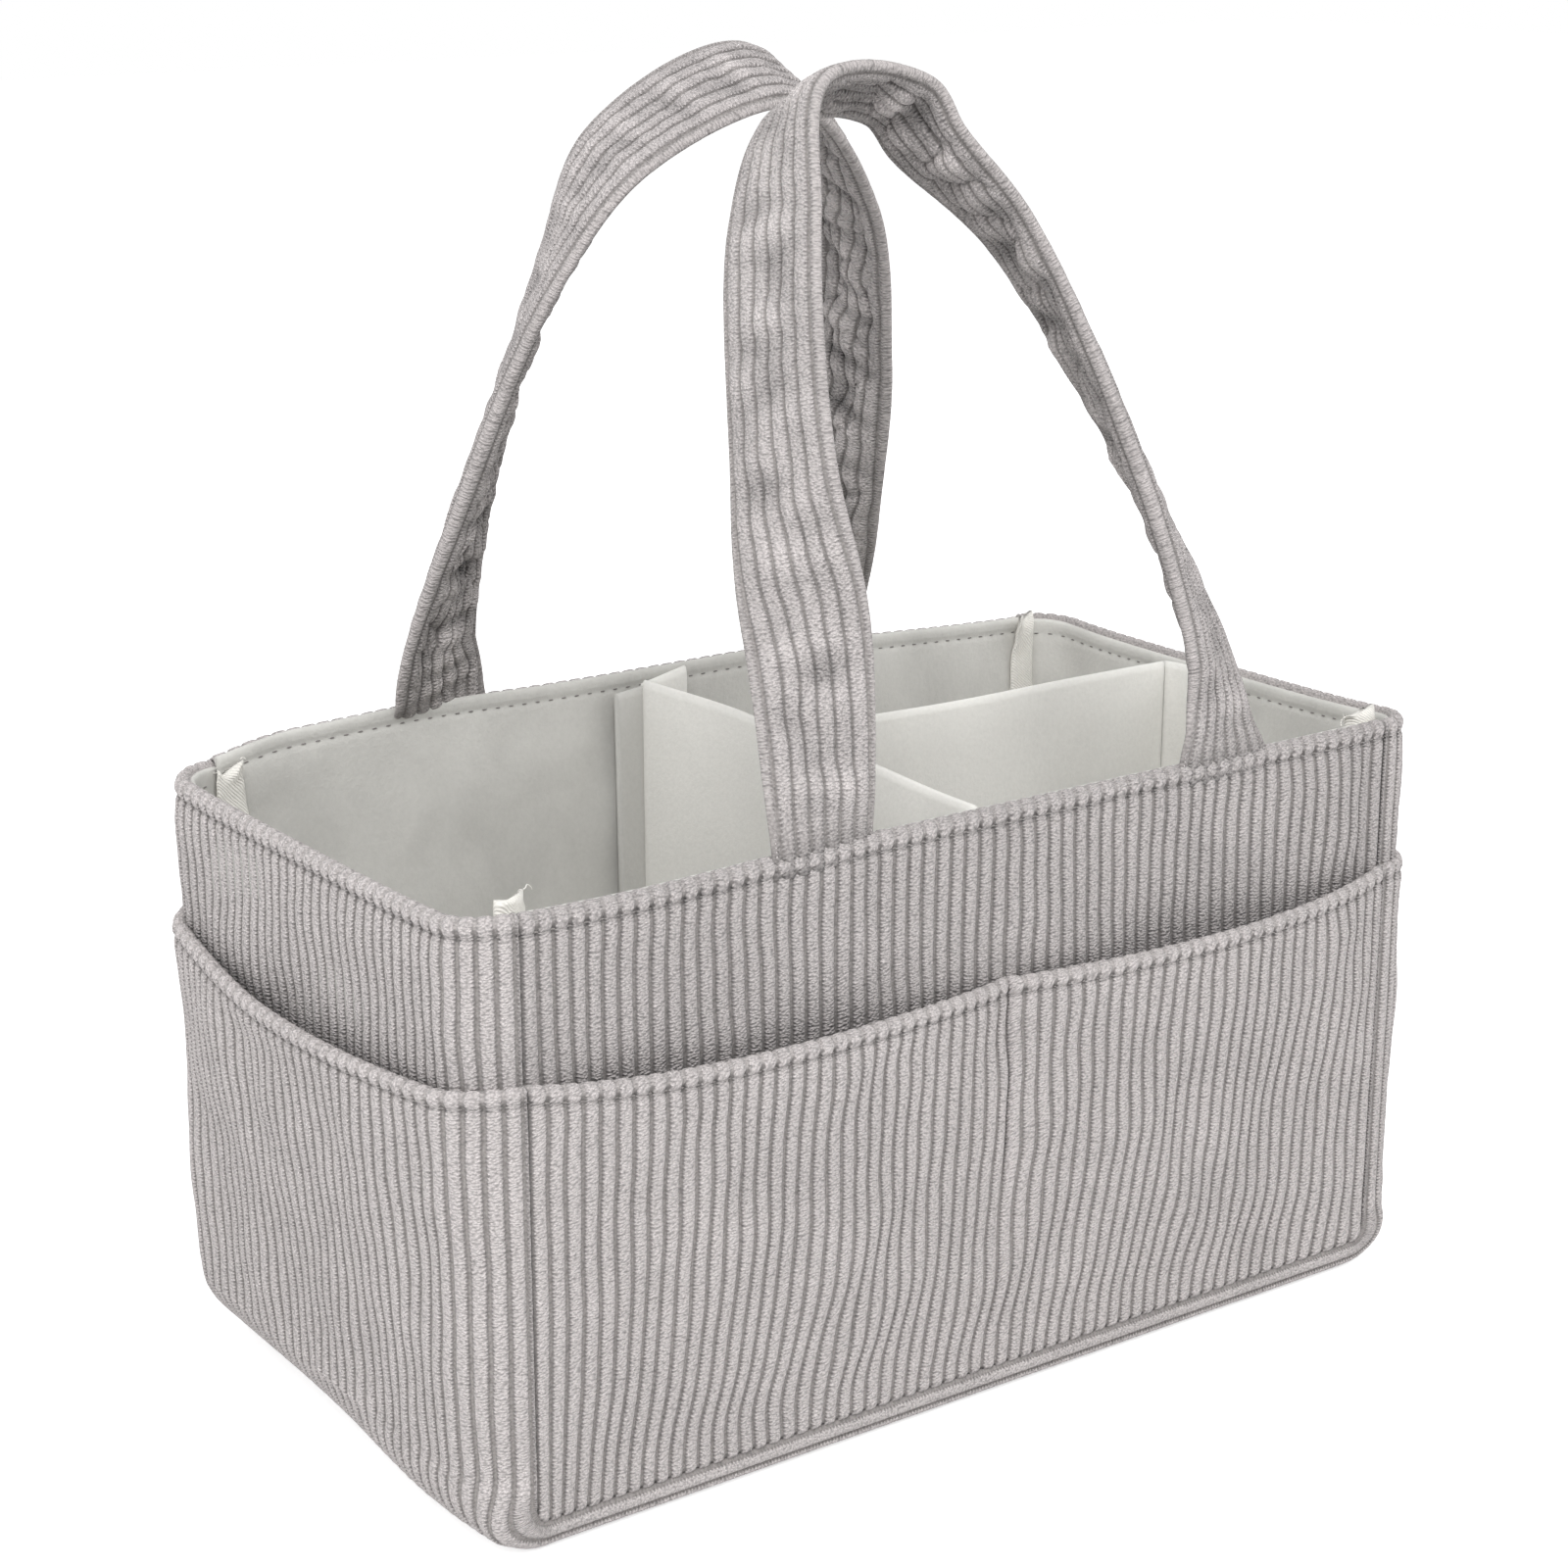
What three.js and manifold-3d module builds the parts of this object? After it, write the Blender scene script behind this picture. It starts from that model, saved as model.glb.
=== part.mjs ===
// Diaper caddy: a corduroy basket with pockets all round, a felt lining, dividers and strap handles.
// Millimetres, +Z up. X runs along the length, the front is at -Y, the origin is under the base's middle.
import * as THREE from 'three';
import { mergeVertices } from 'three/addons/utils/BufferGeometryUtils.js';
import Module from 'manifold-3d';

// Body
const LENGTH = 380; // between the two ends, at the rim
const WIDTH = 198; // between the front and back panels, at the rim
const HEIGHT = 200; // floor to rim
const SEAM_INSET = 20; // from each end to the upright seams, which is also the corner round
const BASE_SEAM = 10; // height of the seam along the foot of the front and back panels
const BASE_ROUND = 27; // round where the ends turn under the base
const CLEAR = 0.3; // gap left between sewn layers and edges

// Cloth, felt and boards
const CORDUROY = 2;
const CORE = 2.4; // stiffening board between corduroy and lining
const FELT = 1.2; // lining
const TAPE = 2.4; // seam binding, folded double
const TAPE_WIDTH = 10;
const TAPE_PROUD = 1.5; // tape ends standing above the rim

// Outer pockets
const POCKET_TOP = 149;
const HEM = 11; // depth of the folded hem
const HEM_FOLD = 1; // extra thickness in the hem
const FRONT_EASE = 6; // how far a front or back pocket mouth stands open
const SIDE_EASE = 6.5; // how far an end pocket mouth stands open
const POCKET_SPLIT = 6; // the stitched line that parts the front pocket, from the middle

// Handles
const STRAP_WIDTH = 37;
const STRAP = 4;
const STRAP_EDGE = 2; // thickness at the stitched edges
const EDGE_BAND = 4; // width of the thinner edge
const HANDLE_SPAN = 160; // between the middles of the two feet
const HANDLE_RISE = 217; // rim to the top of the loop
const HANDLE_LEAN = 0.35; // inward lean for each millimetre of rise
const FRONT_SHIFT = 15; // the front loop sits this far right of the middle
const BACK_SHIFT = 6; // the back loop sits this far left of the middle
const TAIL_DEPTH = 26; // strap end sewn in below the rim

// Dividers
const DIVIDER = 3.5;
const DIVIDER_DROP = 5; // divider top below the rim
const FLANGE = 16; // width of each end flap
const LONG_DIVIDER_Y = 17; // the long divider stands this far behind the middle
const HOOK = 1; // hook strip on each end flap
const HOOK_WIDTH = 12;
const HOOK_HEIGHT = 120;

// Boards stop this far short of the seams
const CORE_MARGIN = 10;

// Depths of the layers, inward from the outer face of the base cloth
const SHELL_IN = CORDUROY + CLEAR;
const CORE_IN = SHELL_IN + CORDUROY + CLEAR;
const LINING_IN = CORE_IN + CORE + CLEAR;
const ROOM_IN = LINING_IN + FELT;
const TAPE_IN = ROOM_IN + CLEAR;
const HOOK_IN = ROOM_IN + CLEAR;
const FLANGE_IN = HOOK_IN + HOOK + CLEAR;
const BOARD_IN = TAPE_IN + TAPE + CLEAR;

const HALF_LENGTH = LENGTH / 2;
const HALF_WIDTH = WIDTH / 2;
const SEAM_X = HALF_LENGTH - SEAM_INSET;
const CORNER_X = HALF_LENGTH - BASE_ROUND; // where the round at the foot of each end begins
const FRONT = -1;
const BACK = 1;

// Points that each strap passes: place in half spans, height as a share of the rise, twist in degrees.
// At twist 90 the strap lies flat along the rim, and at 0 its width runs front to back.
const FRONT_LOOP = [
  [-1, 0, 90], [-0.9, 0.24, 64], [-0.82, 0.48, 26], [-0.68, 0.76, 10], [-0.29, 1, -4],
  [0.37, 0.82, 9], [0.75, 0.56, 22], [0.98, 0.28, 52], [1, 0, 88],
];
const BACK_LOOP = [
  [-1, 0, 88], [-1.04, 0.32, 56], [-0.88, 0.62, 28], [-0.57, 0.89, 4], [0.1, 1, -8],
  [0.65, 0.81, -12], [0.86, 0.55, 4], [0.88, 0.28, 45], [0.98, 0, 90],
];

const wasm = await Module();
wasm.setup();

const corduroy = new THREE.MeshStandardMaterial({ color: 0xb9b4b2, roughness: 0.95 });
const felt = new THREE.MeshStandardMaterial({ color: 0xc4c2bd, roughness: 0.95 });
const board = new THREE.MeshStandardMaterial({ color: 0x9a9894, roughness: 0.9 });
const cotton = new THREE.MeshStandardMaterial({ color: 0xe2ded5, roughness: 0.9 });
const hookTape = new THREE.MeshStandardMaterial({ color: 0xd6d4cf, roughness: 0.8 });

// The walls open out a little towards the rim, by the thickness of the pocket layer.
const lean = (z) => SHELL_IN * z / HEIGHT;
const range = (count) => Array.from({ length: count }, (_, i) => i);
const steps = (from, to, count) => range(count + 1).map((i) => from + (to - from) * i / count);

function signedVolume(position, index) {
  const [a, b, c] = [new THREE.Vector3(), new THREE.Vector3(), new THREE.Vector3()];
  let volume = 0;
  for (let i = 0; i < index.length; i += 3) {
    a.fromArray(position, index[i] * 3);
    b.fromArray(position, index[i + 1] * 3);
    c.fromArray(position, index[i + 2] * 3);
    volume += a.dot(b.cross(c)) / 6;
  }
  return volume;
}

// A closed solid from points and faces of three or four corners, turned so that its faces point out.
function solid(points, faces) {
  const position = points.flatMap((p) => [p.x, p.y, p.z]);
  const index = faces.flatMap((f) => (f.length === 4 ? [f[0], f[1], f[2], f[0], f[2], f[3]] : f));
  if (signedVolume(position, index) < 0) index.reverse();
  const geometry = new THREE.BufferGeometry();
  geometry.setAttribute('position', new THREE.Float32BufferAttribute(position, 3));
  geometry.setIndex(index);
  geometry.computeVertexNormals();
  return geometry;
}

// The solid between two grids of points that share their rows and columns, such as a cloth's two faces.
function solidBetween(outer, inner) {
  const rows = outer.length;
  const columns = outer[0].length;
  const size = rows * columns;
  const at = (layer, r, c) => layer * size + r * columns + c;
  const faces = [];
  for (const r of range(rows - 1)) {
    for (const c of range(columns - 1)) {
      faces.push([at(0, r, c), at(0, r, c + 1), at(0, r + 1, c + 1), at(0, r + 1, c)]);
      faces.push([at(1, r, c), at(1, r + 1, c), at(1, r + 1, c + 1), at(1, r, c + 1)]);
    }
  }
  for (const c of range(columns - 1)) {
    faces.push([at(0, 0, c + 1), at(0, 0, c), at(1, 0, c), at(1, 0, c + 1)]);
    faces.push([at(0, rows - 1, c), at(0, rows - 1, c + 1), at(1, rows - 1, c + 1), at(1, rows - 1, c)]);
  }
  const end = columns - 1;
  for (const r of range(rows - 1)) {
    faces.push([at(0, r, 0), at(0, r + 1, 0), at(1, r + 1, 0), at(1, r, 0)]);
    faces.push([at(0, r + 1, end), at(0, r, end), at(1, r, end), at(1, r + 1, end)]);
  }
  return solid([...outer.flat(), ...inner.flat()], faces);
}

// Front and back walls: a point at a place along the wall, a height and a depth in from the base cloth.
const wallPoint = (side, x, z, depth) => new THREE.Vector3(x, side * (HALF_WIDTH - depth + lean(z)), z);

function wallPlate(side, [x0, x1], [z0, z1], [d0, d1]) {
  const face = (depth) => [z0, z1].map((z) => [x0, x1].map((x) => wallPoint(side, x, z, depth)));
  return solidBetween(face(d0), face(d1));
}

// Foot of a front or back panel, which rises round its two lower corners.
function footHeight(x) {
  const past = Math.max(Math.abs(x) - CORNER_X, 0) / (SEAM_X - CORNER_X);
  return BASE_ROUND - (BASE_ROUND - BASE_SEAM) * Math.max(1 - past ** 4, 0) ** 0.25;
}

const cornerColumns = [1, 0.97, 0.9, 0.75, 0.4].map((share) => CORNER_X + (SEAM_X - CORNER_X) * share);

function panelColumns(middle) {
  return [...cornerColumns.map((x) => -x), ...middle, ...[...cornerColumns].reverse()];
}

// A front or back panel of cloth. stand(x, z) is how far it stands off its plain place.
function panel(side, columns, top, depths, stand = () => 0, fold = () => 0) {
  const rows = [0, 0.25, 0.5, 0.7, 0.85, 1 - HEM / (top - BASE_SEAM), 1];
  const edge = 1 - CLEAR / 2 / SEAM_X;
  const face = (depth, isInner) => rows.map((row) => columns.map((x) => {
    const foot = footHeight(x) + CLEAR / 2;
    const z = foot + (top - foot) * row;
    const out = stand(x, z) - (isInner ? fold(z) : 0);
    return wallPoint(side, x * edge, z, depth - out);
  }));
  return solidBetween(face(depths[0], false), face(depths[1], true));
}

// The strip that runs down one end, under the base and up the other, with edges rounded to the seams.
function strip(top, depths, stand = () => 0, fold = () => 0) {
  const legRows = [0, HEM / (top - BASE_ROUND), 0.25, 0.45, 0.7, 1];
  const cornerSteps = 6;
  const roundSteps = 5;
  const side = [
    ...legRows.map((share) => ({ leg: share })),
    ...steps(0, 1, cornerSteps).slice(1).map((share) => ({ turn: share * Math.PI / 2 })),
  ];
  const left = side.map((station) => ({ ...station, end: -1 }));
  const right = [...side].reverse().map((station) => ({ ...station, end: 1 }));
  const path = [...left, { end: 0 }, ...right];
  const flat = steps(-1, 1, 6);
  const across = [
    ...steps(0, 1, roundSteps).map((share) => ({ side: FRONT, turn: share * Math.PI / 2 })),
    ...flat.slice(1, -1).map((share) => ({ flat: share })),
    ...steps(1, 0, roundSteps).map((share) => ({ side: BACK, turn: share * Math.PI / 2 })),
  ];
  const face = (depth, isInner) => path.map((station) => {
    const { end, leg, turn } = station;
    const round = BASE_ROUND - depth;
    let outX = 0;
    let outZ = depth;
    let seamX = 0;
    let seamZ = BASE_SEAM;
    if (leg !== undefined) {
      outX = HALF_LENGTH - depth;
      outZ = top + (BASE_ROUND - top) * leg;
      seamX = SEAM_X;
      seamZ = outZ;
    } else if (turn !== undefined) {
      outX = CORNER_X + round * Math.cos(turn);
      outZ = BASE_ROUND - round * Math.sin(turn);
      seamX = CORNER_X + (SEAM_X - CORNER_X) * Math.max(Math.cos(turn), 0) ** 0.5;
      seamZ = BASE_ROUND - (BASE_ROUND - BASE_SEAM) * Math.sin(turn) ** 0.5;
    }
    seamX += CLEAR / 2;
    seamZ -= CLEAR / 2;
    return across.map((place) => {
      const reach = place.turn === undefined ? 1 : Math.sin(place.turn);
      const x = seamX + (outX - seamX) * reach;
      const z = seamZ + (outZ - seamZ) * reach;
      const half = HALF_WIDTH - depth + lean(z);
      const edge = SEAM_INSET - depth;
      const y = place.turn === undefined
        ? place.flat * (half - edge)
        : place.side * (half - edge * (1 - Math.cos(place.turn)));
      const out = leg === undefined ? 0 : (stand(y / half, outZ) - (isInner ? fold(outZ) : 0)) * reach;
      return new THREE.Vector3(end * (x + (lean(z) + out) * reach), y, z);
    });
  });
  return solidBetween(face(depths[0], false), face(depths[1], true));
}

// Pocket mouths: closed at the seams and the foot, and open most in the middle of the hem.
const hemFold = (z) => (z > POCKET_TOP - HEM - CLEAR ? HEM_FOLD : 0);
const opening = (z) => Math.max((z - BASE_ROUND) / (POCKET_TOP - BASE_ROUND), 0);

function frontStand(x, z) {
  const [from, to] = x < POCKET_SPLIT ? [-SEAM_X, POCKET_SPLIT] : [POCKET_SPLIT, SEAM_X];
  const along = Math.min(Math.max((x - from) / (to - from), 0), 1);
  return hemFold(z) + FRONT_EASE * opening(z) * Math.sin(Math.PI * along) ** 0.8;
}

const endStand = (share, z) => hemFold(z) + SIDE_EASE * opening(z) ** 1.4 * Math.max(1 - share ** 2, 0);

// A folded strap along a loop, cut square to the rim at its feet and thinner at its stitched edges.
function strapLoop(side, loop, shift) {
  const halfSpan = HANDLE_SPAN / 2;
  const footY = HALF_WIDTH - (CORE_IN + CORE / 2) + lean(HEIGHT);
  const footZ = HEIGHT + CLEAR;
  const place = ([across, share]) => {
    const rise = share * HANDLE_RISE;
    const y = side * (footY - HANDLE_LEAN * rise);
    return new THREE.Vector3(shift + across * halfSpan, y, footZ + rise);
  };
  const path = new THREE.CatmullRomCurve3(loop.map(place), false, 'centripetal');
  const twist = new THREE.SplineCurve(loop.map(([, , degrees], i) => new THREE.Vector2(i, degrees)));
  const half = STRAP_WIDTH / 2;
  const quarter = [[half, STRAP_EDGE / 2], [half - EDGE_BAND, STRAP / 2]];
  const section = [
    ...quarter, ...[...quarter].reverse().map(([w, t]) => [-w, t]),
    ...quarter.map(([w, t]) => [-w, -t]), ...[...quarter].reverse().map(([w, t]) => [w, -t]),
  ];
  const loopNormal = new THREE.Vector3(0, -1, -side * HANDLE_LEAN).normalize();
  const stations = steps(0, 1, 56);
  const points = stations.flatMap((share) => {
    const centre = path.getPoint(share);
    const isFoot = share === 0 || share === 1;
    const along = isFoot ? new THREE.Vector3(0, 0, 1 - 2 * share) : path.getTangent(share);
    const near = loopNormal.clone().addScaledVector(along, -loopNormal.dot(along)).normalize();
    const inward = new THREE.Vector3().crossVectors(along, near);
    const angle = THREE.MathUtils.degToRad(twist.getPoint(share).y) * -side;
    const wide = near.clone().multiplyScalar(Math.cos(angle)).addScaledVector(inward, Math.sin(angle));
    const thick = new THREE.Vector3().crossVectors(wide, along);
    return section.map(([w, t]) => centre.clone().addScaledVector(wide, w).addScaledVector(thick, t));
  });
  const count = section.length;
  const faces = [];
  for (const s of range(stations.length - 1)) {
    for (const c of range(count)) {
      const next = (c + 1) % count;
      faces.push([s * count + c, s * count + next, (s + 1) * count + next, (s + 1) * count + c]);
    }
  }
  const last = (stations.length - 1) * count;
  for (const c of range(count - 2)) {
    faces.push([0, c + 2, c + 1]);
    faces.push([last, last + c + 1, last + c + 2]);
  }
  return solid(points, faces);
}

// Binding folded over a side seam: up one inner corner, along the foot of the wall and up the other.
function binding(side) {
  const top = HEIGHT + TAPE_PROUD;
  const line = (inset) => {
    const x = SEAM_X - CLEAR - inset;
    const z = BASE_SEAM + CLEAR + inset;
    const right = [[CORNER_X - inset, z], [x, BASE_ROUND + inset], [x, top]];
    return [...[...right].reverse().map(([place, height]) => [-place, height]), ...right];
  };
  const edge = (inset, depth) => line(inset).map(([x, z]) => wallPoint(side, x, z, depth));
  const face = (depth) => [edge(0, depth), edge(TAPE_WIDTH, depth)];
  return solidBetween(face(TAPE_IN), face(TAPE_IN + TAPE));
}

function toManifold(geometry) {
  const bare = geometry.clone();
  bare.deleteAttribute('normal');
  bare.deleteAttribute('uv');
  const merged = mergeVertices(bare);
  const vertProperties = merged.attributes.position.array;
  const triVerts = Uint32Array.from(merged.index.array);
  return new wasm.Manifold(new wasm.Mesh({ numProp: 3, vertProperties, triVerts }));
}

function fuse(...geometries) {
  const mesh = geometries.map(toManifold).reduce((whole, piece) => whole.add(piece)).getMesh();
  const geometry = new THREE.BufferGeometry();
  geometry.setAttribute('position', new THREE.Float32BufferAttribute(mesh.vertProperties, 3));
  geometry.setIndex(Array.from(mesh.triVerts));
  geometry.computeVertexNormals();
  return geometry;
}

// Heights shared by the dividers, which stand on the lining and have their end flaps above the binding.
const DIVIDER_TOP = HEIGHT - DIVIDER_DROP;
const DIVIDER_FOOT = ROOM_IN + CLEAR;
const FLAP_FOOT = BASE_SEAM + CLEAR + TAPE_WIDTH + CLEAR;

// The cross divider stands from wall to wall, with flaps to both sides at each end.
function crossDivider() {
  const outline = [[DIVIDER_FOOT, SEAM_INSET], [FLAP_FOOT, BOARD_IN], [DIVIDER_TOP, BOARD_IN]];
  const row = (x, [z, depth]) => [FRONT, BACK].map((side) => wallPoint(side, x, z, depth));
  const face = (x) => outline.map((corner) => row(x, corner));
  const middle = solidBetween(face(-DIVIDER / 2), face(DIVIDER / 2));
  const flaps = [FRONT, BACK].map((side) => wallPlate(
    side, [-FLANGE, FLANGE], [FLAP_FOOT, DIVIDER_TOP], [FLANGE_IN, FLANGE_IN + DIVIDER],
  ));
  return fuse(middle, ...flaps);
}

// The long divider runs from the cross divider to the right end, with a flap turned back and one forward.
const LONG_LEFT = DIVIDER / 2 + CLEAR + HOOK + CLEAR;
const endX = (z, depth) => HALF_LENGTH - depth + lean(z);

function endPlate([y0, y1], [z0, z1], [d0, d1]) {
  const row = (z, depth) => [y0, y1].map((y) => new THREE.Vector3(endX(z, depth), y, z));
  const face = (depth) => [z0, z1].map((z) => row(z, depth));
  return solidBetween(face(d0), face(d1));
}

function longDivider() {
  const [front, back] = [LONG_DIVIDER_Y - DIVIDER / 2, LONG_DIVIDER_Y + DIVIDER / 2];
  const upright = [BASE_ROUND, DIVIDER_TOP].map((z) => [z, endX(z, FLANGE_IN)]);
  const outline = [[DIVIDER_FOOT, CORNER_X], ...upright];
  const row = (y, [z, right]) => [LONG_LEFT, right].map((x) => new THREE.Vector3(x, y, z));
  const face = (y) => outline.map((corner) => row(y, corner));
  const middle = solidBetween(face(front), face(back));
  const flapDepths = [FLANGE_IN, FLANGE_IN + DIVIDER];
  const right = endPlate([front - FLANGE, back], [BASE_ROUND, DIVIDER_TOP], flapDepths);
  const left = new THREE.BoxGeometry(DIVIDER, DIVIDER + FLANGE, DIVIDER_TOP - FLAP_FOOT);
  left.translate(LONG_LEFT + DIVIDER / 2, front + (DIVIDER + FLANGE) / 2, (DIVIDER_TOP + FLAP_FOOT) / 2);
  return fuse(middle, right, left);
}

// Hook strips run down the middle of each flap.
const hookMiddle = (DIVIDER_TOP + FLAP_FOOT) / 2;
const hookRise = [hookMiddle - HOOK_HEIGHT / 2, hookMiddle + HOOK_HEIGHT / 2];
const hookDepths = [HOOK_IN, HOOK_IN + HOOK];
const crossHook = (side) => wallPlate(side, [-HOOK_WIDTH / 2, HOOK_WIDTH / 2], hookRise, hookDepths);

function longHook(isRight) {
  const flapMiddle = LONG_DIVIDER_Y - (isRight ? FLANGE / 2 : -FLANGE / 2);
  const width = [flapMiddle - HOOK_WIDTH / 2, flapMiddle + HOOK_WIDTH / 2];
  if (isRight) return endPlate(width, hookRise, hookDepths);
  const strip = new THREE.BoxGeometry(HOOK, HOOK_WIDTH, HOOK_HEIGHT);
  return strip.translate(DIVIDER / 2 + CLEAR + HOOK / 2, flapMiddle, hookMiddle);
}

// Stiffening boards, which stop short of the seams and, in front and back, below the sewn-in strap ends.
const CORE_FOOT = BASE_ROUND + CORE_MARGIN;
const CORE_TOP = HEIGHT - TAIL_DEPTH - CORE_MARGIN;
const coreDepths = [CORE_IN, CORE_IN + CORE];
const coreHalfX = SEAM_X - CORE_MARGIN;
const coreHalfY = HALF_WIDTH - SEAM_INSET - CORE_MARGIN / 2;

function endCore(end) {
  const plate = endPlate([-coreHalfY, coreHalfY], [CORE_FOOT, HEIGHT - CORE_MARGIN], coreDepths);
  return end > 0 ? plate : plate.rotateZ(Math.PI);
}

function baseCore() {
  const plate = new THREE.BoxGeometry(2 * (CORNER_X - CORE_MARGIN), 2 * coreHalfY, CORE);
  return plate.translate(0, 0, CORE_IN + CORE / 2);
}

function strapTail(side, end, shift) {
  const middle = shift + end * HANDLE_SPAN / 2;
  const width = [middle - STRAP_WIDTH / 2, middle + STRAP_WIDTH / 2];
  return wallPlate(side, width, [HEIGHT - TAIL_DEPTH, HEIGHT], coreDepths);
}

const caddy = new THREE.Group();
caddy.name = 'diaper_caddy';

function add(group, name, geometry, material) {
  const mesh = new THREE.Mesh(geometry, material);
  mesh.name = name;
  group.add(mesh);
}

function section() {
  const group = new THREE.Group();
  caddy.add(group);
  return group;
}

const plainColumns = panelColumns([0]);
const pocketColumns = panelColumns([
  ...steps(-CORNER_X, POCKET_SPLIT, 9), ...steps(POCKET_SPLIT, CORNER_X, 9).slice(1),
]);
const shellDepths = [SHELL_IN, SHELL_IN + CORDUROY];
const liningDepths = [LINING_IN, LINING_IN + FELT];
const pocketDepths = [0, CORDUROY];
const walls = [['front', FRONT, FRONT_LOOP, FRONT_SHIFT], ['back', BACK, BACK_LOOP, -BACK_SHIFT]];

const shell = section();
const pockets = section();
const stiffening = section();
const lining = section();
const handles = section();
const dividers = section();

for (const [name, side, loop, shift] of walls) {
  const pocket = panel(side, pocketColumns, POCKET_TOP, pocketDepths, frontStand, hemFold);
  const core = wallPlate(side, [-coreHalfX, coreHalfX], [CORE_FOOT, CORE_TOP], coreDepths);
  add(shell, `shell_${name}`, panel(side, plainColumns, HEIGHT, shellDepths), corduroy);
  add(pockets, `pocket_${name}`, pocket, corduroy);
  add(stiffening, `board_${name}`, core, board);
  add(lining, `lining_${name}`, panel(side, plainColumns, HEIGHT, liningDepths), felt);
  add(lining, `seam_tape_${name}`, binding(side), cotton);
  add(handles, `handle_${name}`, strapLoop(side, loop, shift), corduroy);
  add(handles, `handle_${name}_tail_left`, strapTail(side, -1, shift), corduroy);
  add(handles, `handle_${name}_tail_right`, strapTail(side, 1, shift), corduroy);
}
add(shell, 'shell_gusset', strip(HEIGHT, shellDepths), corduroy);
add(pockets, 'pocket_gusset', strip(POCKET_TOP, pocketDepths, endStand, hemFold), corduroy);
add(lining, 'lining_gusset', strip(HEIGHT, liningDepths), felt);
add(stiffening, 'board_left', endCore(-1), board);
add(stiffening, 'board_right', endCore(1), board);
add(stiffening, 'board_base', baseCore(), board);
add(dividers, 'divider_cross', crossDivider(), felt);
add(dividers, 'divider_long', longDivider(), felt);
add(dividers, 'divider_cross_hook_front', crossHook(FRONT), hookTape);
add(dividers, 'divider_cross_hook_back', crossHook(BACK), hookTape);
add(dividers, 'divider_long_hook_left', longHook(false), hookTape);
add(dividers, 'divider_long_hook_right', longHook(true), hookTape);

export default caddy;
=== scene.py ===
"""Sews a corduroy diaper caddy over its frame: ribbed cloth, felt, dividers, tapes and strap handles."""

import functools
import math
from types import SimpleNamespace

import bpy
import numpy as np
from mathutils import Matrix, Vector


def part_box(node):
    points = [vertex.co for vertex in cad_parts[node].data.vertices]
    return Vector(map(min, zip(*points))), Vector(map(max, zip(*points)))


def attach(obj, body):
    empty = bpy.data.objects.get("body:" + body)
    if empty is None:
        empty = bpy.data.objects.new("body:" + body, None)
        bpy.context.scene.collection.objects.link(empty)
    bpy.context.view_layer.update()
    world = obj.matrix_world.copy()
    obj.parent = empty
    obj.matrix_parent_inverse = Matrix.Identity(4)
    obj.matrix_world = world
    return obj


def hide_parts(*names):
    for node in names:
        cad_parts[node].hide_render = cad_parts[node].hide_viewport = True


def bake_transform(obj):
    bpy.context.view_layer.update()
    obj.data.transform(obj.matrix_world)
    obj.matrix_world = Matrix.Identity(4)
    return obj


bl_info = {
    "name": "Corduroy diaper caddy",
    "version": (1, 0, 0),
    "blender": (4, 5, 0),
    "location": "3D View > Sidebar > Caddy",
    "description": "Sews a corduroy caddy with pockets, lining, dividers and strap handles over its frame",
    "category": "Object",
}

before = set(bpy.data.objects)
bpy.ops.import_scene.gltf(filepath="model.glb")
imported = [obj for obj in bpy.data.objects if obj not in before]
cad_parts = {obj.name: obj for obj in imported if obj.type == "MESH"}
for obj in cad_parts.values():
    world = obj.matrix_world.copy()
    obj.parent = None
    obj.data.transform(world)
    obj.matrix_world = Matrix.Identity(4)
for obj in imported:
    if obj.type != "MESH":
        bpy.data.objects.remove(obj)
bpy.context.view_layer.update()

MM = 0.001
X, Y, Z = 0, 1, 2
UP = np.array([0, 0, 1.0])
FRONT, BACK = -1, 1
WALLS = (("front", FRONT), ("back", BACK))


def low(node, axis):
    """Lowest place of a frame node along an axis."""
    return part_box(node)[0][axis]


def high(node, axis):
    """Highest place of a frame node along an axis."""
    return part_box(node)[1][axis]


# Places taken from the frame, in metres
RIM = high("shell_front", Z)
POCKET_TOP = high("pocket_front", Z)
HALF_LENGTH = high("shell_gusset", X)
HALF_WIDTH = high("shell_gusset", Y)
DIVIDER_TOP = high("divider_cross", Z)
DIVIDER_FOOT = low("divider_cross", Z)
LONG_LEFT = low("divider_long", X)

# Cut of the basket, as in the frame
LAYER = 2.3 * MM  # one cloth and its gap, which is also how far the walls open out at the rim
CORNER_ROUND = 20 * MM
SEAM_X = HALF_LENGTH - CORNER_ROUND
BASE_ROUND = 27 * MM
CORNER_X = HALF_LENGTH - BASE_ROUND
BASE_SEAM = 10 * MM
ROOM_IN = 8.5 * MM
FLAP_IN = 11.85 * MM
FLAP_FOOT = 20.6 * MM
DIVIDER = 3.5 * MM

# Thickness of the sheets, radius of the fold along their tops, and spacing of the rows on a wall
CLOTH, FELT = 0.8 * MM, 0.9 * MM
RIM_FOLD, HEM_FOLD, FELT_FOLD = 2.1 * MM, 1.8 * MM, 1 * MM
WALL_ROWS, SHELL_END_ROWS, FELT_ROWS = 4 * MM, 5 * MM, 6 * MM

# Where the ribs are sampled, as shares of one rib: close together on their steep sides
RIB_STEPS = np.array([0, 0.085, 0.12, 0.2, 0.34, 0.5, 0.66, 0.8, 0.88, 0.915])

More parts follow.
